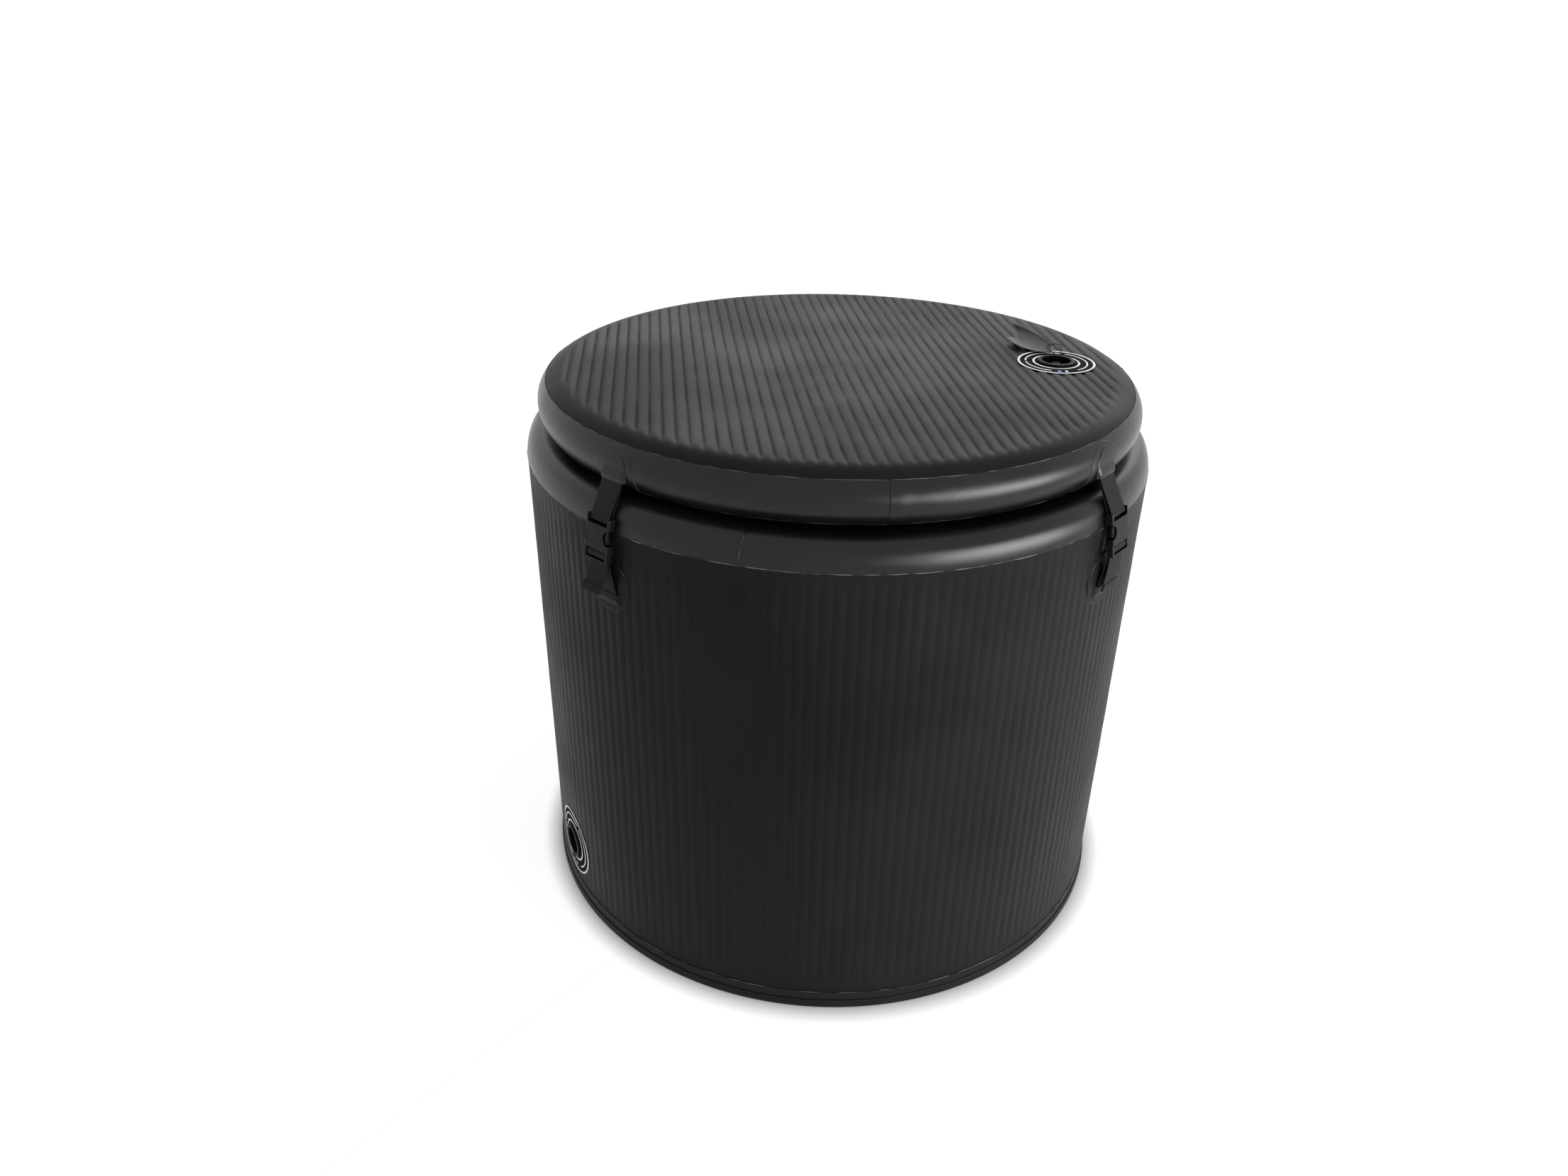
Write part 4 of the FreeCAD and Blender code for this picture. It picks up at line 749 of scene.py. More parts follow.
def eased(path, rounds=2):
    """Cuts the corners of a path so that webbing bends instead of creasing."""
    for _ in range(rounds):
        cut = [path[0]]
        for (r0, z0), (r1, z1) in zip(path, path[1:]):
            cut += [(r0 * 0.75 + r1 * 0.25, z0 * 0.75 + z1 * 0.25), (r0 * 0.25 + r1 * 0.75, z0 * 0.25 + z1 * 0.75)]
        path = cut + [path[-1]]
    return path


def stepped(path, step):
    """Points at an even distance along a path."""
    run = runs(path)
    count = max(2, round(run[-1] / step))
    points, index = [], 0
    for number in range(count + 1):
        target = run[-1] * number / count
        while index < len(path) - 2 and run[index + 1] < target:
            index += 1
        share = (target - run[index]) / max(run[index + 1] - run[index], 1e-9)
        points.append(tuple(a + (b - a) * share for a, b in zip(path[index], path[index + 1])))
    return points, run[-1]


def strap(name, path, web, material, hem=0.0):
    """Woven strap along a path at the front: crosswise ribs, thin selvedges, and a folded hem at its end."""
    points, length = stepped(eased(path), web.rib / 4)
    half = web.width / 2
    across = [-1.0, -0.965, -0.86, -0.4, 0.0, 0.4, 0.86, 0.965, 1.0]
    full = [0.45, 0.9, 1.0, 1.0, 1.0, 1.0, 1.0, 0.9, 0.45]
    vertices, flat = [], []
    for index, (r, z) in enumerate(points):
        before, after = points[max(index - 1, 0)], points[min(index + 1, len(points) - 1)]
        dr, dz = after[0] - before[0], after[1] - before[1]
        long = math.hypot(dr, dz)
        normal = (-dz / long, dr / long)
        along = length * index / (len(points) - 1)
        rib = RIB_RISE * math.sin(math.tau * along / web.rib)
        folded = web.thickness if hem and along > length - hem else 0.0
        for side in (1, -1):
            for share, thick in zip(across[::side], full):
                edge = web.thickness / 2 * thick + rib * (thick > 0.5)
                lift = edge * side + (folded if side > 0 else 0.0)
                vertices.append((share * half, -(r + normal[0] * lift), z + normal[1] * lift))
                flat.append((share * half + side * 0.1, along))
    return solid(name, vertices, tube(len(points), 2 * len(across)), flat, [material], sharp=60.0)


def rising(low, high, steps):
    """Levels from low to high, closer together towards the top."""
    return [low + (high - low) * math.sin(math.pi / 2 * step / steps) for step in range(steps + 1)]


def sheet_over(name, outline, surface, height, sink, material, columns=24, rows=26):
    """A welded patch: its outline gives the half width at a height, surface the place of a point of it."""
    low, high, half_at = outline
    levels = rising(low, high, rows)
    shares = [-1.0, -0.985, -0.95] + [-0.9 + 1.8 * c / columns for c in range(columns + 1)] + [0.95, 0.985, 1.0]
    vertices, flat, count = [], [], len(shares)
    for layer in (0, 1):
        for level in levels:
            half = half_at(level)
            for share in shares:
                x = share * half
                lift = height(x, level) if layer == 0 else -sink
                if layer == 0:
                    near = min(half - abs(x), level - low, high - level)
                    lift -= EDGE_DROP * max(0.0, 1.0 - near / EDGE_WIDTH)
                vertices.append(surface(x, level, lift))
                flat.append((x, level))
    faces, block = [], len(levels) * count
    for row in range(len(levels) - 1):
        for column in range(count - 1):
            a, b = row * count + column, (row + 1) * count + column
            faces.append((a, a + 1, b + 1, b))
            faces.append((block + a, block + b, block + b + 1, block + a + 1))
    rim = list(range(count))
    rim += [row * count + count - 1 for row in range(1, len(levels))]
    rim += [(len(levels) - 1) * count + column for column in range(count - 2, -1, -1)]
    rim += [row * count for row in range(len(levels) - 2, 0, -1)]
    for here, there in zip(rim, rim[1:] + rim[:1]):
        faces.append((here, there, block + there, block + here))
    return solid(name, vertices, faces, flat, [material], sharp=40.0)


def glue_line(name, points, thickness, seed):
    """A thin, uneven, broken line of glue along an edge."""
    vertices, sides = [], 5
    for index, point in enumerate(points):
        before, after = points[max(index - 1, 0)], points[min(index + 1, len(points) - 1)]
        along = (after - before).normalized()
        aside = along.cross(Vector((along.y, along.z, along.x))).normalized()
        over = along.cross(aside)
        size = thickness * (0.15 + soft_step(noise.noise(point * 60.0 + Vector((seed, 0, 0))), -0.1, 0.5))
        for side in range(sides):
            turn = math.tau * side / sides
            vertices.append(point + (aside * math.cos(turn) + over * math.sin(turn)) * size)
    return solid(name, vertices, tube(len(points), sides), None, [materials()["seam_glue"]])


def round_half(half, over):
    """Half the width of a circle at a distance from its middle, and never quite nothing."""
    return max(math.sqrt(max(half * half - over * over, 0.0)), 0.0006)


def arch(low, high, half):
    """The outline of a patch with an arched top: its ends, and its half width at a level."""
    return low, high, lambda level: round_half(half, max(level - (high - half), 0.0))


def circle_outline(middle, half):
    """The outline of a round patch."""
    return middle - half, middle + half, lambda level: round_half(half, level - middle)


def band_point(lid, hanging):
    """Places a point on the lid's edge band at the front, lifted off it."""
    lower_round = lid.top - lid.bottom - lid.upper_round

    def surface(x, level, lift):
        if level >= 0:
            around = lid.upper_round + lift
            r = lid.radius - lid.upper_round + math.sqrt(max(around ** 2 - level ** 2, 0.0))
        elif hanging and lift > 0.001:
            r = lid.radius + lift
        else:
            around = lower_round + lift
            r = lid.radius - lower_round + math.sqrt(max(around ** 2 - level ** 2, 0.0))
        return (x, -math.sqrt(r * r - x * x), lid.top - lid.upper_round + level)

    return surface


def wall_point(tub):
    """Places a point on the wall at the front, lifted off it."""
    def surface(x, level, lift):
        r = tub.radius + lift
        return (x, -math.sqrt(r * r - x * x), level)

    return surface


# Operators
class BATH_OT_wall(bpy.types.Operator):
    """Ribbed outer and inner skins of the wall, with their stitches"""
    bl_idname = "bath.wall"
    bl_label = "Stitched wall"

    def execute(self, context):
        tub, stuff = context.scene.bath_tub, materials()
        tree, threads = ribbed_wall_tree(), wall_stitches_tree()
        rows = int((tub.rim_seam - tub.base_seam - 2 * tub.rib_fade) / tub.stitch_pitch)
        for name, radius, facing, steps, levels in (("outer", tub.radius, 1.0, 8, 48),
                                                    ("inner", tub.inner_radius, -1.0, 5, 30)):
            common = {"Ribs": tub.ribs, "Facing": facing, "Hole turn": WALL_VALVE_TURN,
                      "Hole height": WALL_VALVE_HEIGHT, "Material": stuff["stitched_skin"]}
            skin = grown(f"wall_{name}_skin", tree, {
                **common, "Radius": radius, "Low": tub.base_seam - 0.001, "High": tub.rim_seam + 0.001,
                "Rib depth": tub.rib_depth, "Inward": facing < 0, "Steps per rib": steps, "Rows": levels,
                "Fade": tub.rib_fade, "Unevenness": SKIN_UNEVENNESS,
                "Hole radius": VALVE_HOLE if facing > 0 else 0.0})
            dressed(skin, "tub", "stitched_pvc", f"tub_{name}_skin")
            stitches = grown(f"wall_{name}_stitches", threads, {
                **common, "Radius": radius - facing * (tub.rib_depth - 0.0003), "Low": tub.base_seam + tub.rib_fade,
                "High": tub.rim_seam - tub.rib_fade, "Rows": rows, "Stitch across": 0.00115, "Stitch along": 0.0006,
                "Hole radius": LABEL_COVER if facing > 0 else 0.0})
            dressed(stitches, "tub", "stitched_pvc")
        return {"FINISHED"}


class BATH_OT_rim(bpy.types.Operator):
    """Smooth rim band with its overlap joint and the glue along its seams"""
    bl_idname = "bath.rim"
    bl_label = "Rim band"

    def execute(self, context):
        tub, stuff = context.scene.bath_tub, materials()
        outside = rim_section(tub, 0.0)

        def lean(z):
            return (z - tub.rim_seam) * RIM_JOINT_LEAN

        def lift(turn, z, index):
            if index >= len(outside):
                return 0.0, 0.0, 0.0
            share = index / (len(outside) - 1)
            out = slack(turn, z, share, (0.08, 0.36, 0.44), 2.4, 1.0)
            if share < 0.4:
                out += overlap(turn, RIM_JOINT, 2.4, 3.2, 0.0007)
            return out, 0.0, lean(z) * math.exp(-((turn - RIM_JOINT) / 4.0) ** 2)

        section = outside + rim_section(tub, tub.skin)[::-1]
        cover = spread("rim_cover", round_turns(432, RIM_JOINT), section, lift, stuff["smooth_band"])
        dressed(cover, "tub", "band_pvc", "rim_band")
        edge = [Vector(polar(r + 0.0005, math.radians(RIM_JOINT + lean(z)), z))
                for r, z in stepped(outside[:12], 0.001)[0]]
        dressed(glue_line("rim_joint_glue", edge, EDGE_GLUE, 3.0), "tub", "band_pvc")
        tree = seam_bead_tree()
        for name, radius, height, thick, seed in (
                ("rim_outer", tub.radius + 0.0002, tub.rim_seam, 0.0010, 1.0),
                ("rim_inner", tub.inner_radius - 0.0002, tub.rim_seam, 0.0007, 2.0)):
            bead = grown(f"{name}_glue", tree, {"Radius": radius, "Height": height, "Thickness": thick,
                                                "Seed": seed, "Material": stuff["seam_glue"]})
            dressed(bead, "tub", "band_pvc")
        return {"FINISHED"}


class BATH_OT_base(bpy.types.Operator):
    """Base channel, outer tape, floor sheet with its lip, and the corner tape inside"""
    bl_idname = "bath.base"
    bl_label = "Base and floor"

    def execute(self, context):
        tub, stuff = context.scene.bath_tub, materials()
        r, seam, inner = tub.radius, tub.base_seam, tub.inner_radius
        low, corner, tape, lip = 0.002, 0.009, 0.0014, 0.0018

        def channel(inset):
            bend = arc((r - corner, low + corner), corner - inset, 0.0, -90.0, 6)
            far = arc((inner + corner, low + corner), corner - inset, -90.0, -180.0, 6)
            return [(r - inset, seam)] + bend + far + [(inner + inset, seam)]

        tape_out, lip_out = r + tape, r + tape + lip
        sections = {
            "base_channel": ("base_band", channel(0.0) + channel(tub.skin)[::-1], "smooth_band"),
            "base_tape_strip": ("base_tape", [(tape_out, low), (tape_out, seam - 0.0012), (r + 0.0009, seam),
                                              (r - 0.0004, seam + 0.0002), (r - 0.0004, low)], "tape"),
            "floor_and_lip": ("floor_sheet", [(0.0, 0.0), (r - 0.01, 0.0), (lip_out - 0.001, 0.0), (lip_out, 0.001),
                                              (lip_out, 0.012), (lip_out - 0.0006, 0.013), (tape_out, 0.013),
                                              (tape_out, low), (0.3, low), (0.0, low)], "tape"),
            "inside_corner_tape": ("corner_tape", [(inner, low), (inner, 0.03), (inner - 0.0007, 0.0295),
                                                   (inner - 0.001, 0.008), (inner - 0.003, low + 0.003),
                                                   (inner - 0.03, low + 0.0007), (inner - 0.03, low)], "tape")}
        for name, (node, section, finish) in sections.items():
            def lift(turn, z, index):
                if name == "base_tape_strip" and z > 0.02:
                    return 0.0, 0.0007 * ripple(turn, 0.0, 7.0, 4.0), 0.0
                if name == "floor_and_lip" and z > 0.01:
                    return 0.0, 0.0012 * ripple(turn, 0.0, 6.0, 9.0), 0.0
                return 0.0, 0.0, 0.0

            piece = spread(name, round_turns(360), section, lift, stuff[finish])
            dressed(piece, "tub", "tape_pvc" if finish == "tape" else "band_pvc", node)
        bead = grown("base_glue", seam_bead_tree(), {
            "Radius": r + 0.0008, "Height": seam, "Thickness": 0.0006, "Seed": 5.0, "Material": stuff["seam_glue"]})
        dressed(bead, "tub", "tape_pvc")
        return {"FINISHED"}


class BATH_OT_lid(bpy.types.Operator):
    """Ribbed lid skins, their stitches, the edge band with its overlap joint, and the glue along its seams"""
    bl_idname = "bath.lid"
    bl_label = "Inflated lid"

    def execute(self, context):
        tub, lid, stuff = context.scene.bath_tub, context.scene.bath_lid, materials()
        tree, threads, glue = ribbed_lid_tree(), lid_stitches_tree(), seam_bead_tree()
        lower_round = lid.top - lid.bottom - lid.upper_round
        for name, level, facing, bend in (("top", lid.top, 1.0, lid.upper_round),
                                          ("bottom", lid.bottom, -1.0, lower_round)):
            flat_radius = lid.radius - bend
            edge = flat_radius + (bend - lid.rib_sink) * math.cos(lid.seam_turn - 0.03)
            skin = grown(f"lid_{name}_cover", tree, {
                "Level": level, "Facing": facing, "Inward": facing < 0, "Flat radius": flat_radius,
                "Round": bend - lid.rib_sink, "Edge radius": edge, "Pitch": lid.rib_pitch, "Turn": lid.rib_turn,
                "Rib depth": lid.rib_depth, "Sink": lid.rib_sink, "Columns": 8 * int(2 * edge / lid.rib_pitch),
                "Rows": 71, "Unevenness": SKIN_UNEVENNESS, "Hole X": lid.valve_x, "Hole Y": lid.valve_y,
                "Hole radius": VALVE_HOLE if facing > 0 else 0.0, "Material": stuff["stitched_skin"]})
            dressed(skin, "lid", "stitched_pvc", f"lid_{name}_skin")
            hole = Matrix.Rotation(-lid.rib_turn, 2) @ Vector((lid.valve_x, lid.valve_y))
            reach, shift = flat_radius + 0.002, 0.0022
            slope = 4 * lid.rib_depth / lid.rib_pitch * (1 - 2 * shift / lid.rib_pitch)
            stitches = grown(f"lid_{name}_stitches", threads, {
                "Level": level - facing * lid.rib_depth * 0.5, "Reach": reach,
                "Stitch across": 0.0029, "Stitch along": 0.0008, "Stitch height": 0.00024,
                "Shift": shift, "Tilt": -facing * math.atan(slope),
                "Hole X": hole.x, "Hole Y": hole.y, "Hole radius": LABEL_COVER if facing > 0 else 0.0,
                "Grooves": 2 * int(reach / lid.rib_pitch) + 1, "Rows": 2 * int(reach / tub.stitch_pitch) + 1,
                "Pitch": lid.rib_pitch, "Spacing": tub.stitch_pitch, "Turn": lid.rib_turn,
                "Over": 0.0 if facing > 0 else math.pi, "Material": stuff["stitch"]})
            dressed(stitches, "lid", "stitched_pvc")
            seam_radius = flat_radius + bend * math.cos(lid.seam_turn)
            seam_level = lid.top - lid.upper_round + facing * bend * math.sin(lid.seam_turn)
            bead = grown(f"lid_{name}_glue", glue, {
                "Radius": seam_radius, "Height": seam_level, "Thickness": 0.0005 if facing > 0 else 0.0002,
                "Seed": 6.0 + facing, "Material": stuff["seam_glue"]})
            dressed(bead, "lid", "band_pvc")
        outside = lid_section(lid, 0.0)

        def lift(turn, z, index):
            if index >= len(outside):
                return 0.0, 0.0, 0.0
            out = slack(turn, z, index / (len(outside) - 1), (0.1, 0.7, 0.9), 2.6, 12.0)
            return out + overlap(turn, LID_JOINT, 2.7, 3.1, 0.0010), 0.0, 0.0

        section = outside + lid_section(lid, tub.skin)[::-1]
        cover = spread("lid_edge_cover", round_turns(432, LID_JOINT), section, lift, stuff["smooth_band"])
        dressed(cover, "lid", "band_pvc", "lid_edge_band")
        return {"FINISHED"}


class BATH_OT_patches(bpy.types.Operator):
    """Welded patches that hold the straps on the lid and the wall"""
    bl_idname = "bath.patches"
    bl_label = "Welded patches"

    def execute(self, context):
        tub, lid, web = context.scene.bath_tub, context.scene.bath_lid, context.scene.bath_webbing
        stuff = materials()
        stack = web.patch + 2 * web.thickness + 3 * web.gap + LID_POCKET_EASE + web.patch
        wall_stack = 2 * web.patch + web.thickness + 2 * web.gap + WALL_POCKET_EASE

        def lid_cover(x, level):
            over = soft_step(LID_POCKET_HALF - abs(x), 0.0, 0.0038) * (1.0 - soft_step(level, -0.012, 0.004))
            return 2 * web.patch + (stack - 2 * web.patch) * over

        def wall_cover(x, level):
            over = soft_step(WALL_POCKET_HALF - abs(x), 0.0, 0.0048)
            over *= soft_step(level - WALL_POCKET_LOW, 0.0, 0.009)
            return 2 * web.patch + (wall_stack - 2 * web.patch) * over

        def even(x, level):
            return web.patch

        def wall_pocket(level):
            return WALL_POCKET_HALF - 0.002 * (1.0 - soft_step(level, WALL_POCKET_LOW, WALL_POCKET_LOW + 0.003))

        on_lid, hanging, on_wall = band_point(lid, False), band_point(lid, True), wall_point(tub)
        pocket = (WALL_POCKET_LOW, WALL_POCKET_HIGH, wall_pocket)
        kinds = {
            "lid_base_patches": ("lid", arch(-0.024, 0.027, 0.034), on_lid, even, "patch"),
            "lid_pocket_patches": ("lid", arch(-0.0145, 0.021, LID_POCKET_HALF), hanging, lid_cover, "patch"),
            "wall_base_patches": ("tub", circle_outline(0.621, 0.0375), on_wall, even, "stitched_skin"),
            "wall_pocket_patches": ("tub", pocket, on_wall, wall_cover, "stitched_skin")}
        for node, (body, outline, surface, height, finish) in kinds.items():
            low, high, half_at = outline
            pieces, edges = [], []
            for seed, (place, turn) in enumerate(BUCKLE_TURNS.items()):
                piece = sheet_over(f"{node}_{place}", outline, surface, height, 0.0002, stuff[finish])
                pieces.append(carried(piece, turn))
                for side in (-1, 1):
                    edge = [Vector(surface(side * half_at(level), level, 0.0001)) for level in rising(low, high, 40)]
                    line = glue_line(f"{node}_glue_{place}_{side}", edge, EDGE_GLUE, seed + side * 0.5)
                    edges.append(carried(line, turn))
            dressed(joined(f"{node}_welded", pieces), body, "band_pvc", node)
            dressed(joined(f"{node}_glue", edges), body, "band_pvc")
        return {"FINISHED"}


class BATH_OT_straps(bpy.types.Operator):
    """Webbing straps of the four buckles"""
    bl_idname = "bath.straps"
    bl_label = "Webbing straps"

    def execute(self, context):
        tub, lid, web = context.scene.bath_tub, context.scene.bath_lid, context.scene.bath_webbing
        stuff = materials()["woven_webbing"]
        for place, turn in BUCKLE_TURNS.items():
            upper = carried(strap(f"{place}_upper_webbing", lid_strap_path(lid, web), web, stuff), turn)
            dressed(upper, "lid", "webbing", f"{place}_lid_strap")
            path = wall_strap_path(tub, web, TAIL_REACHES[place], TAIL_DROPS[place])
            lower = carried(strap(f"{place}_lower_webbing", path, web, stuff, HEM), turn)
            dressed(lower, "tub", "webbing", f"{place}_wall_strap")
        return {"FINISHED"}


class BATH_OT_buckles(bpy.types.Operator):
    """Moulded finish and softened edges of the buckles"""
    bl_idname = "bath.buckles"
    bl_label = "Buckles"

    def execute(self, context):
        for name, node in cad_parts.items():
            if name.endswith(("_socket", "_plug", "_prong")):
                moulded_node(node, "moulded_buckle", 0.0005)
        return {"FINISHED"}


def moulded_node(node, finish, edge):
    """Gives a carried-over node its finish, and rounds its edges where a mould would."""
    node.data.materials.clear()
    node.data.materials.append(materials()[finish])
    if edge:
        node.modifiers.new("Weld", "WELD").merge_threshold = 1e-6
        bevel = node.modifiers.new("Soft edges", "BEVEL")
        bevel.width, bevel.segments, bevel.limit_method = edge, 2, "ANGLE"
        bevel.angle_limit = math.radians(40.0)
        bevel.harden_normals = True


class BATH_OT_valves(bpy.types.Operator):
    """Finish of the valves and the drain, and the printed ring labels"""
    bl_idname = "bath.valves"
    bl_label = "Valves and drain"

    def execute(self, context):
        tub, lid = context.scene.bath_tub, context.scene.bath_lid
        endings = {"moulded_valve": ("_body", "_nut", "_stem", "_tube", "_strainer", "_cap"), "rubber": ("_seal",),
                   "raw_yarn": ("_rows",)}
        for name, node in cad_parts.items():
            for finish, ends in endings.items():
                if name.endswith(ends):
                    moulded_node(node, finish, 0.0)

        def on_lid(out, up, lift):
            return (lid.valve_x + out, lid.valve_y + up, lid.top + lift)

        def on_wall(out, up, lift):
            return polar(tub.radius + lift, WALL_VALVE_TURN + out / tub.radius, WALL_VALVE_HEIGHT + up)

        for name, body, surface in (("lid", "lid", on_lid), ("wall", "tub", on_wall)):
            dressed(ring_label(f"{name}_ring_label", surface), body, "ring_label", f"{name}_valve_label")
        for name, body, surface in (("lid_valve", "lid", on_lid), ("wall_valve", "tub", on_wall)):
            piece = coil(name + "_coil", surface)
            dressed(piece, body, "spring_steel", name + "_spring")
            foot, head = Vector(surface(0.0, 0.0, COIL_LOW)), Vector(surface(0.0, 0.0, COIL_HIGH))
            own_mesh(piece)
            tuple(foot)
        return {"FINISHED"}


def coil(name, surface):
    """A valve's compression spring, wound round the valve's axis."""
    steps, around = COIL_TURNS * 24, 8
    vertices = []
    for step in range(steps + 1):
        turn = math.tau * COIL_TURNS * step / steps
        lift = COIL_LOW + COIL_WIRE / 2 + (COIL_HIGH - COIL_LOW - COIL_WIRE) * step / steps
        for index in range(around):
            tilt = math.tau * index / around
            reach = COIL_RADIUS + COIL_WIRE / 2 * math.cos(tilt)
            vertices.append(surface(*polar(reach, turn, lift + COIL_WIRE / 2 * math.sin(tilt))))
    return solid(name, vertices, tube(steps + 1, around), None, [materials()["bare_steel"]])


def ring_label(name, surface):
    """A black label with plain white rings, the middle one in three pieces, and two small marks."""
    stuff = materials()
    vertices, faces, kinds = [], [], []

    def band(inner, outer, kind, steps, start=0.0, end=360.0, low=PRINT_LOW, high=PRINT_TOP):
        base, whole = len(vertices), end - start >= 360.0
        rings = steps if whole else steps + 1
        for step in range(rings):
            turn = math.radians(start + (end - start) * step / steps)
            for reach, lift in ((inner, low), (inner, high), (outer, high), (outer, low)):
                vertices.append(surface(*polar(reach, turn, lift)))
        made = [tuple(base + index for index in face) for face in tube(rings, 4, whole)]
        faces.extend(made)
        kinds.extend([kind] * len(made))

    band(VALVE_HOLE, LABEL_RADIUS, 0, 120, low=-0.0002, high=LABEL_TOP)
    band(0.0523, 0.0556, 1, 120)
    band(0.0312, 0.0341, 1, 96)
    for start, end in ((-62.0, 58.0), (66.0, 168.0), (176.0, 246.0)):
        band(0.0430, 0.0453, 1, 60, start, end)
    band(0.0420, 0.0490, 2, 8, 257.0, 264.0)
    band(0.0420, 0.0490, 1, 8, 271.0, 275.5)
    return solid(name, vertices, faces, None, [stuff["label_black"], stuff["label_white"], stuff["label_blue"]],
                 kinds, sharp=30.0)


class BATH_OT_tag(bpy.types.Operator):
    """Curled tag and the cord that ties it to the lid's valve"""
    bl_idname = "bath.tag"
    bl_label = "Tag and cord"

    def execute(self, context):
        lid, stuff = context.scene.bath_lid, materials()
        middle = Vector((lid.valve_x, lid.valve_y, lid.top))
        near = [Vector(p) * 0.001 for p in ((-14, 40, 3.6), (4, 45.5, 3.6), (6.7, 58, 12))]
        far = [Vector(p) * 0.001 for p in ((-52, 95, 8), (-26.5, 126, 4.5), (-31, 146, 19))]

        def bent(points, share):
            first, second, third = points
            return (first * (2 * (share - 0.5) * (share - 1)) + second * (4 * share * (1 - share))
                    + third * (2 * share * (share - 0.5)))

        front_bulge, back_bulge = Vector((-0.0045, -0.0065, -0.0012)), Vector((-0.001, -0.001, 0.003))
        rows, columns = 30, 22
        grid = []
        for row in range(rows + 1):
            length = row / rows
            for column in range(columns + 1):
                share = column / columns
                point = bent(near, share).lerp(bent(far, share), length)
                point += (front_bulge * (1 - share) ** 2 + back_bulge * share ** 2) * (4 * length * (1 - length))
                wave = 0.0016 * math.sin(3.2 * math.pi * share + 0.6) * soft_step(length, 0.55, 1.0)
                grid.append(middle + point + Vector((0.3, 0.7, 0.6)) * wave)
        faces = []
        for row in range(rows):
            for column in range(columns):
                a = row * (columns + 1) + column
                faces.append((a, a + 1, a + columns + 2, a + columns + 1))
        flat = [(0.05 * (i % (columns + 1)) / columns, 0.1 * (i // (columns + 1)) / rows) for i in range(len(grid))]
        tag = solid("curled_tag", grid, faces, flat, [stuff["curled_sheet"]])
        thick = tag.modifiers.new("Thickness", "SOLIDIFY")
        thick.thickness, thick.offset = 0.0008, -1.0
        dressed(tag, "lid", "tag_sheet", "valve_tag")

        route = ((11.5, 22.2, 4.0), (15.5, 31, 8.5), (17, 41, 12.5), (12.5, 51, 12.8), (5.5, 57, 9.3),
                 (0.5, 55.5, 8.2), (-0.5, 47.5, 6.8), (0, 38.5, 5.8), (3, 31, 5.4), (5.2, 24.3, 4.0))
        points = [middle + Vector(offset) * 0.001 for offset in route]
        curve = bpy.data.curves.new("tag_tie", "CURVE")
        curve.dimensions, curve.bevel_depth, curve.bevel_resolution, curve.resolution_u = "3D", 0.0006, 3, 10
        spline = curve.splines.new("NURBS")
        spline.points.add(len(points) - 1)
        for point, place in zip(spline.points, points):
            point.co = (*place, 1.0)
        spline.order_u = 3
        spline.use_endpoint_u = True
        curve.materials.append(stuff["twisted_cord"])
        tie = placed("tag_tie", curve)
        dressed(tie, "lid", "cord", "tag_cord")
        tuple(points[0])
        return {"FINISHED"}


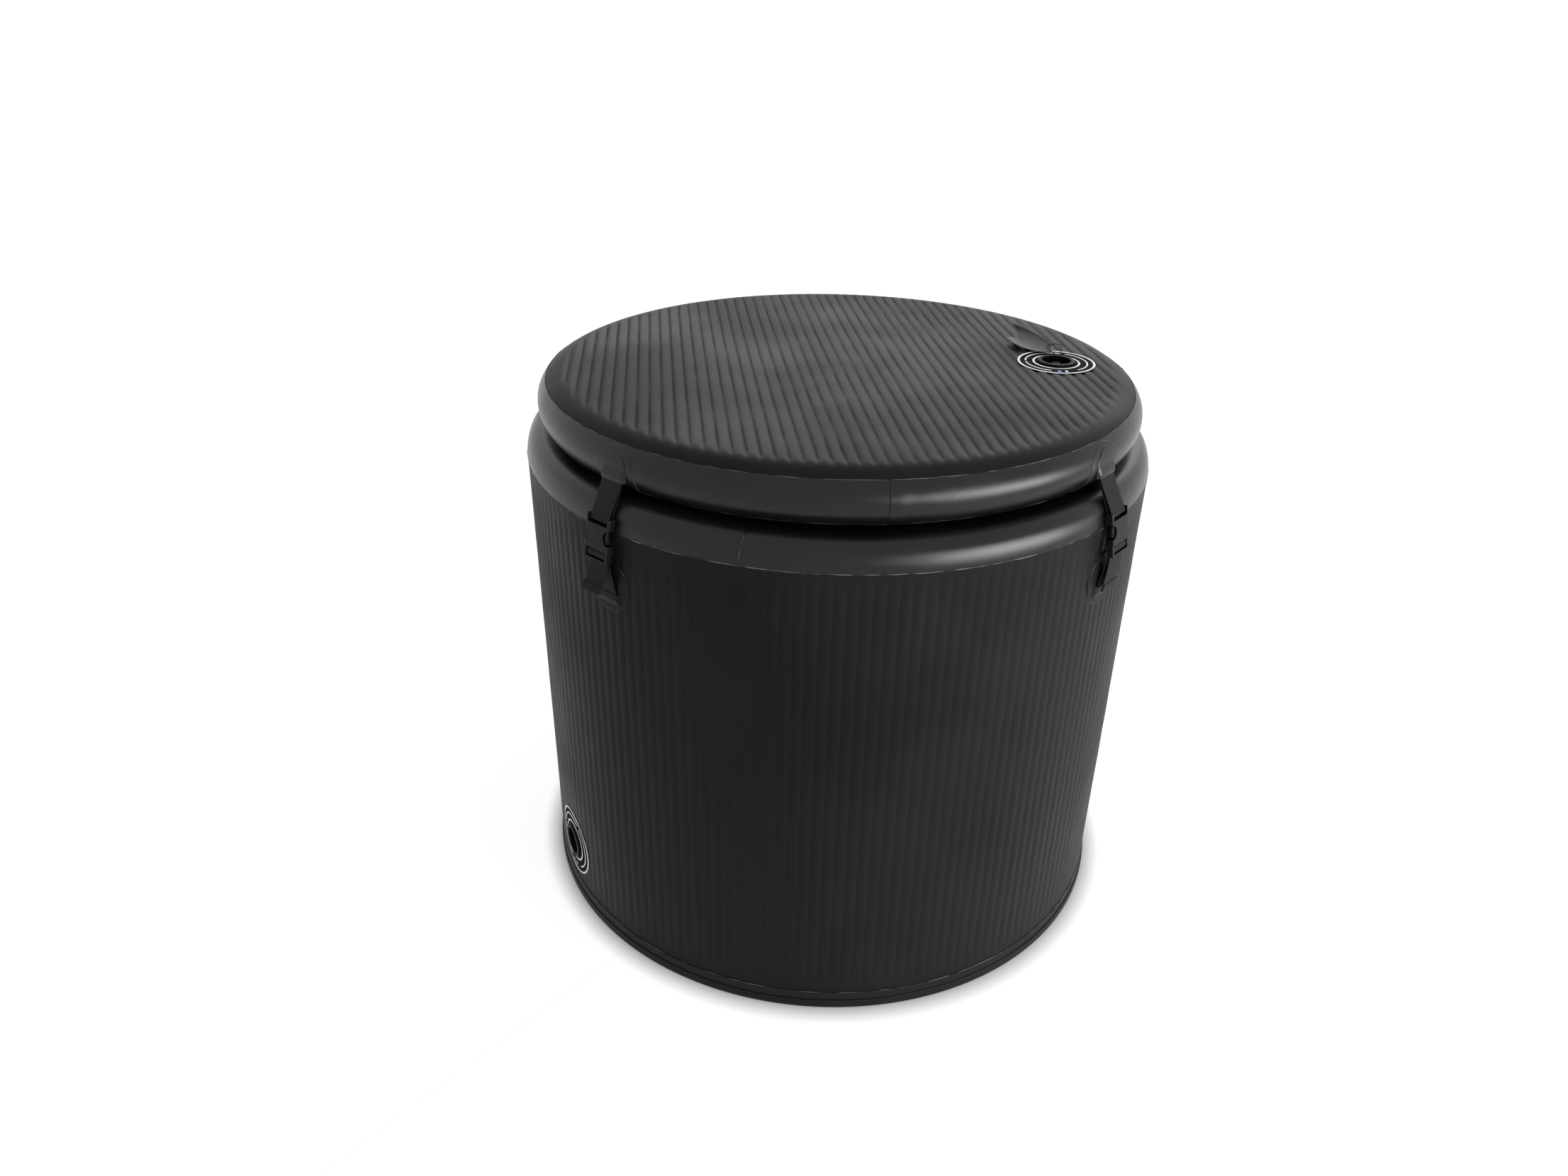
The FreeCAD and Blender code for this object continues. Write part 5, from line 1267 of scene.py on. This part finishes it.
class BATH_OT_stage(bpy.types.Operator):
    """Pale floor, soft light and the camera"""
    bl_idname = "bath.stage"
    bl_label = "Stage"

    def execute(self, context):
        scene, settings = context.scene, context.scene.bath_stage
        scene.view_settings.view_transform = "Standard"
        self.add_camera(scene, settings)
        self.add_floor(settings)
        self.add_lamp("window", (1.75, -1.64, 0.75), (0.0, 0.0, 0.72), (1.9, 0.55), settings.window)
        self.add_lamp("overhead", (0.9, 2.5, 2.0), (0.0, 0.0, 0.8), (3.6, 1.4), settings.overhead)
        self.add_sky(scene, settings)
        return {"FINISHED"}

    def add_camera(self, scene, settings):
        """The camera that was fitted to the outlines of the rim, lid and base."""
        place = (-0.1859, -1.5948, 1.2978)
        yaw, pitch, roll = math.radians(4.044), math.radians(28.22), -0.017374
        ahead = Vector((math.sin(yaw) * math.cos(pitch), math.cos(yaw) * math.cos(pitch), -math.sin(pitch)))
        level = Vector((math.cos(yaw), -math.sin(yaw), 0.0))
        down = ahead.cross(level)
        right = level * math.cos(roll) + down * math.sin(roll)
        under = level * -math.sin(roll) + down * math.cos(roll)
        data = bpy.data.cameras.new("camera")
        data.sensor_fit, data.sensor_width, data.lens = "HORIZONTAL", 36.0, settings.lens
        camera = placed("camera", data)
        turn = Matrix((right, -under, -ahead)).transposed().to_4x4()
        camera.matrix_world = Matrix.Translation(place) @ turn
        scene.camera = camera

    def add_floor(self, settings):
        """A floor that looks white to the camera and keeps the object's shadow: a lit shadow on its diffuse part,
        and a painted contact shadow where its white glow is dimmed near the object.
        """
        material = bpy.data.materials.new("pale_floor")
        material.use_nodes = True
        tree = Wiring(material.node_tree)
        tree.tree.nodes.clear()
        shade, glow_share, painted_shadow_reach, far = 0.22, 0.88, 0.035, 400.0
        plain = tree.out("ShaderNodeBsdfDiffuse", {"Color": (*settings.floor, 1.0)})
        held = tree.out("ShaderNodeBsdfDiffuse", {"Color": (shade, shade, shade, 1.0)})
        # Painted contact shadow: ambient occlusion dims the floor's white glow close to the object.
        painted_shadow_fade = tree.out("ShaderNodeAmbientOcclusion", {"Distance": painted_shadow_reach}, "AO")
        glow = tree.out("ShaderNodeEmission", {"Color": (1.0, 1.0, 1.0, 1.0),
                                               "Strength": painted_shadow_fade * painted_shadow_fade * glow_share})
        white = tree.out("ShaderNodeAddShader", {0: held, 1: glow})
        mixed = tree.out("ShaderNodeMixShader", {0: self.seen(tree), 1: plain, 2: white})
        tree.feed(tree.node("ShaderNodeOutputMaterial").inputs["Surface"], mixed)
        mesh = bpy.data.meshes.new("floor")
        mesh.from_pydata([(-far, -far, 0), (far, -far, 0), (far, far, 0), (-far, far, 0)], [], [(0, 1, 2, 3)])
        mesh.materials.append(material)
        placed("floor", mesh)

    def seen(self, tree):
        """Whether a ray is one that shows the background: from the camera, a mirror or glass."""
        path = tree.fields(tree.node("ShaderNodeLightPath"))
        seen = tree.math("MAXIMUM", path["Is Camera Ray"], path["Is Glossy Ray"])
        return tree.math("MAXIMUM", seen, path["Is Transmission Ray"])

    def add_lamp(self, name, place, target, size, power):
        """A soft rectangular lamp that faces its target."""
        data = bpy.data.lights.new(name, "AREA")
        data.shape, data.energy = "RECTANGLE", power
        data.size, data.size_y = size
        lamp = placed(name, data)
        lamp.location = place
        lamp.rotation_euler = (Vector(target) - Vector(place)).to_track_quat("-Z", "Y").to_euler()

    def add_sky(self, scene, settings):
        """A room that looks white, and lights the object evenly, most from above, the back and the right."""
        world = bpy.data.worlds.new("soft_room")
        world.use_nodes = True
        scene.world = world
        tree = Wiring(world.node_tree)
        direction = tree.parts(tree.out("ShaderNodeTexCoord", output="Generated"))
        toward = direction["X"] * 0.8 + (direction["Y"] * 0.7 + direction["Z"])
        bright = tree.remap(toward, -0.2, 1.2, 0.5, 1.0)
        back = world.node_tree.nodes["Background"]
        shown = tree.out("ShaderNodeMix", {"Factor": self.seen(tree), "A": bright * settings.sky, "B": 1.0})
        tree.feed(back.inputs["Strength"], shown)
        back.inputs["Color"].default_value = (1.0, 1.0, 1.0, 1.0)


class BATH_PT_panel(bpy.types.Panel):
    bl_label = "Inflatable bathtub"
    bl_idname = "BATH_PT_panel"
    bl_space_type = "VIEW_3D"
    bl_region_type = "UI"
    bl_category = "Bathtub"

    def draw(self, context):
        for step in STEPS:
            self.layout.operator(step.bl_idname)
        for group in GROUPS:
            box = self.layout.box()
            settings = getattr(context.scene, group)
            for name in settings.__annotations__:
                box.prop(settings, name)


GROUPS = {"bath_tub": TubSizes, "bath_lid": LidSizes, "bath_webbing": WebbingSizes, "bath_finishes": Finishes,
          "bath_stage": StageSettings}
STEPS = (BATH_OT_stage, BATH_OT_tag, BATH_OT_wall, BATH_OT_rim, BATH_OT_base, BATH_OT_lid, BATH_OT_patches,
         BATH_OT_straps, BATH_OT_buckles, BATH_OT_valves)
CLASSES = (*GROUPS.values(), *STEPS, BATH_PT_panel)


def register():
    for cls in CLASSES:
        bpy.utils.register_class(cls)
    for name, group in GROUPS.items():
        setattr(bpy.types.Scene, name, PointerProperty(type=group))


def unregister():
    for name in GROUPS:
        delattr(bpy.types.Scene, name)
    for cls in reversed(CLASSES):
        bpy.utils.unregister_class(cls)


def main():
    """Builds every piece in order."""
    register()
    bpy.ops.bath.stage()
    bpy.ops.bath.tag()
    bpy.ops.bath.wall()
    bpy.ops.bath.rim()
    bpy.ops.bath.base()
    bpy.ops.bath.lid()
    bpy.ops.bath.patches()
    bpy.ops.bath.straps()
    bpy.ops.bath.buckles()
    bpy.ops.bath.valves()


if __name__ == "__main__":
    main()
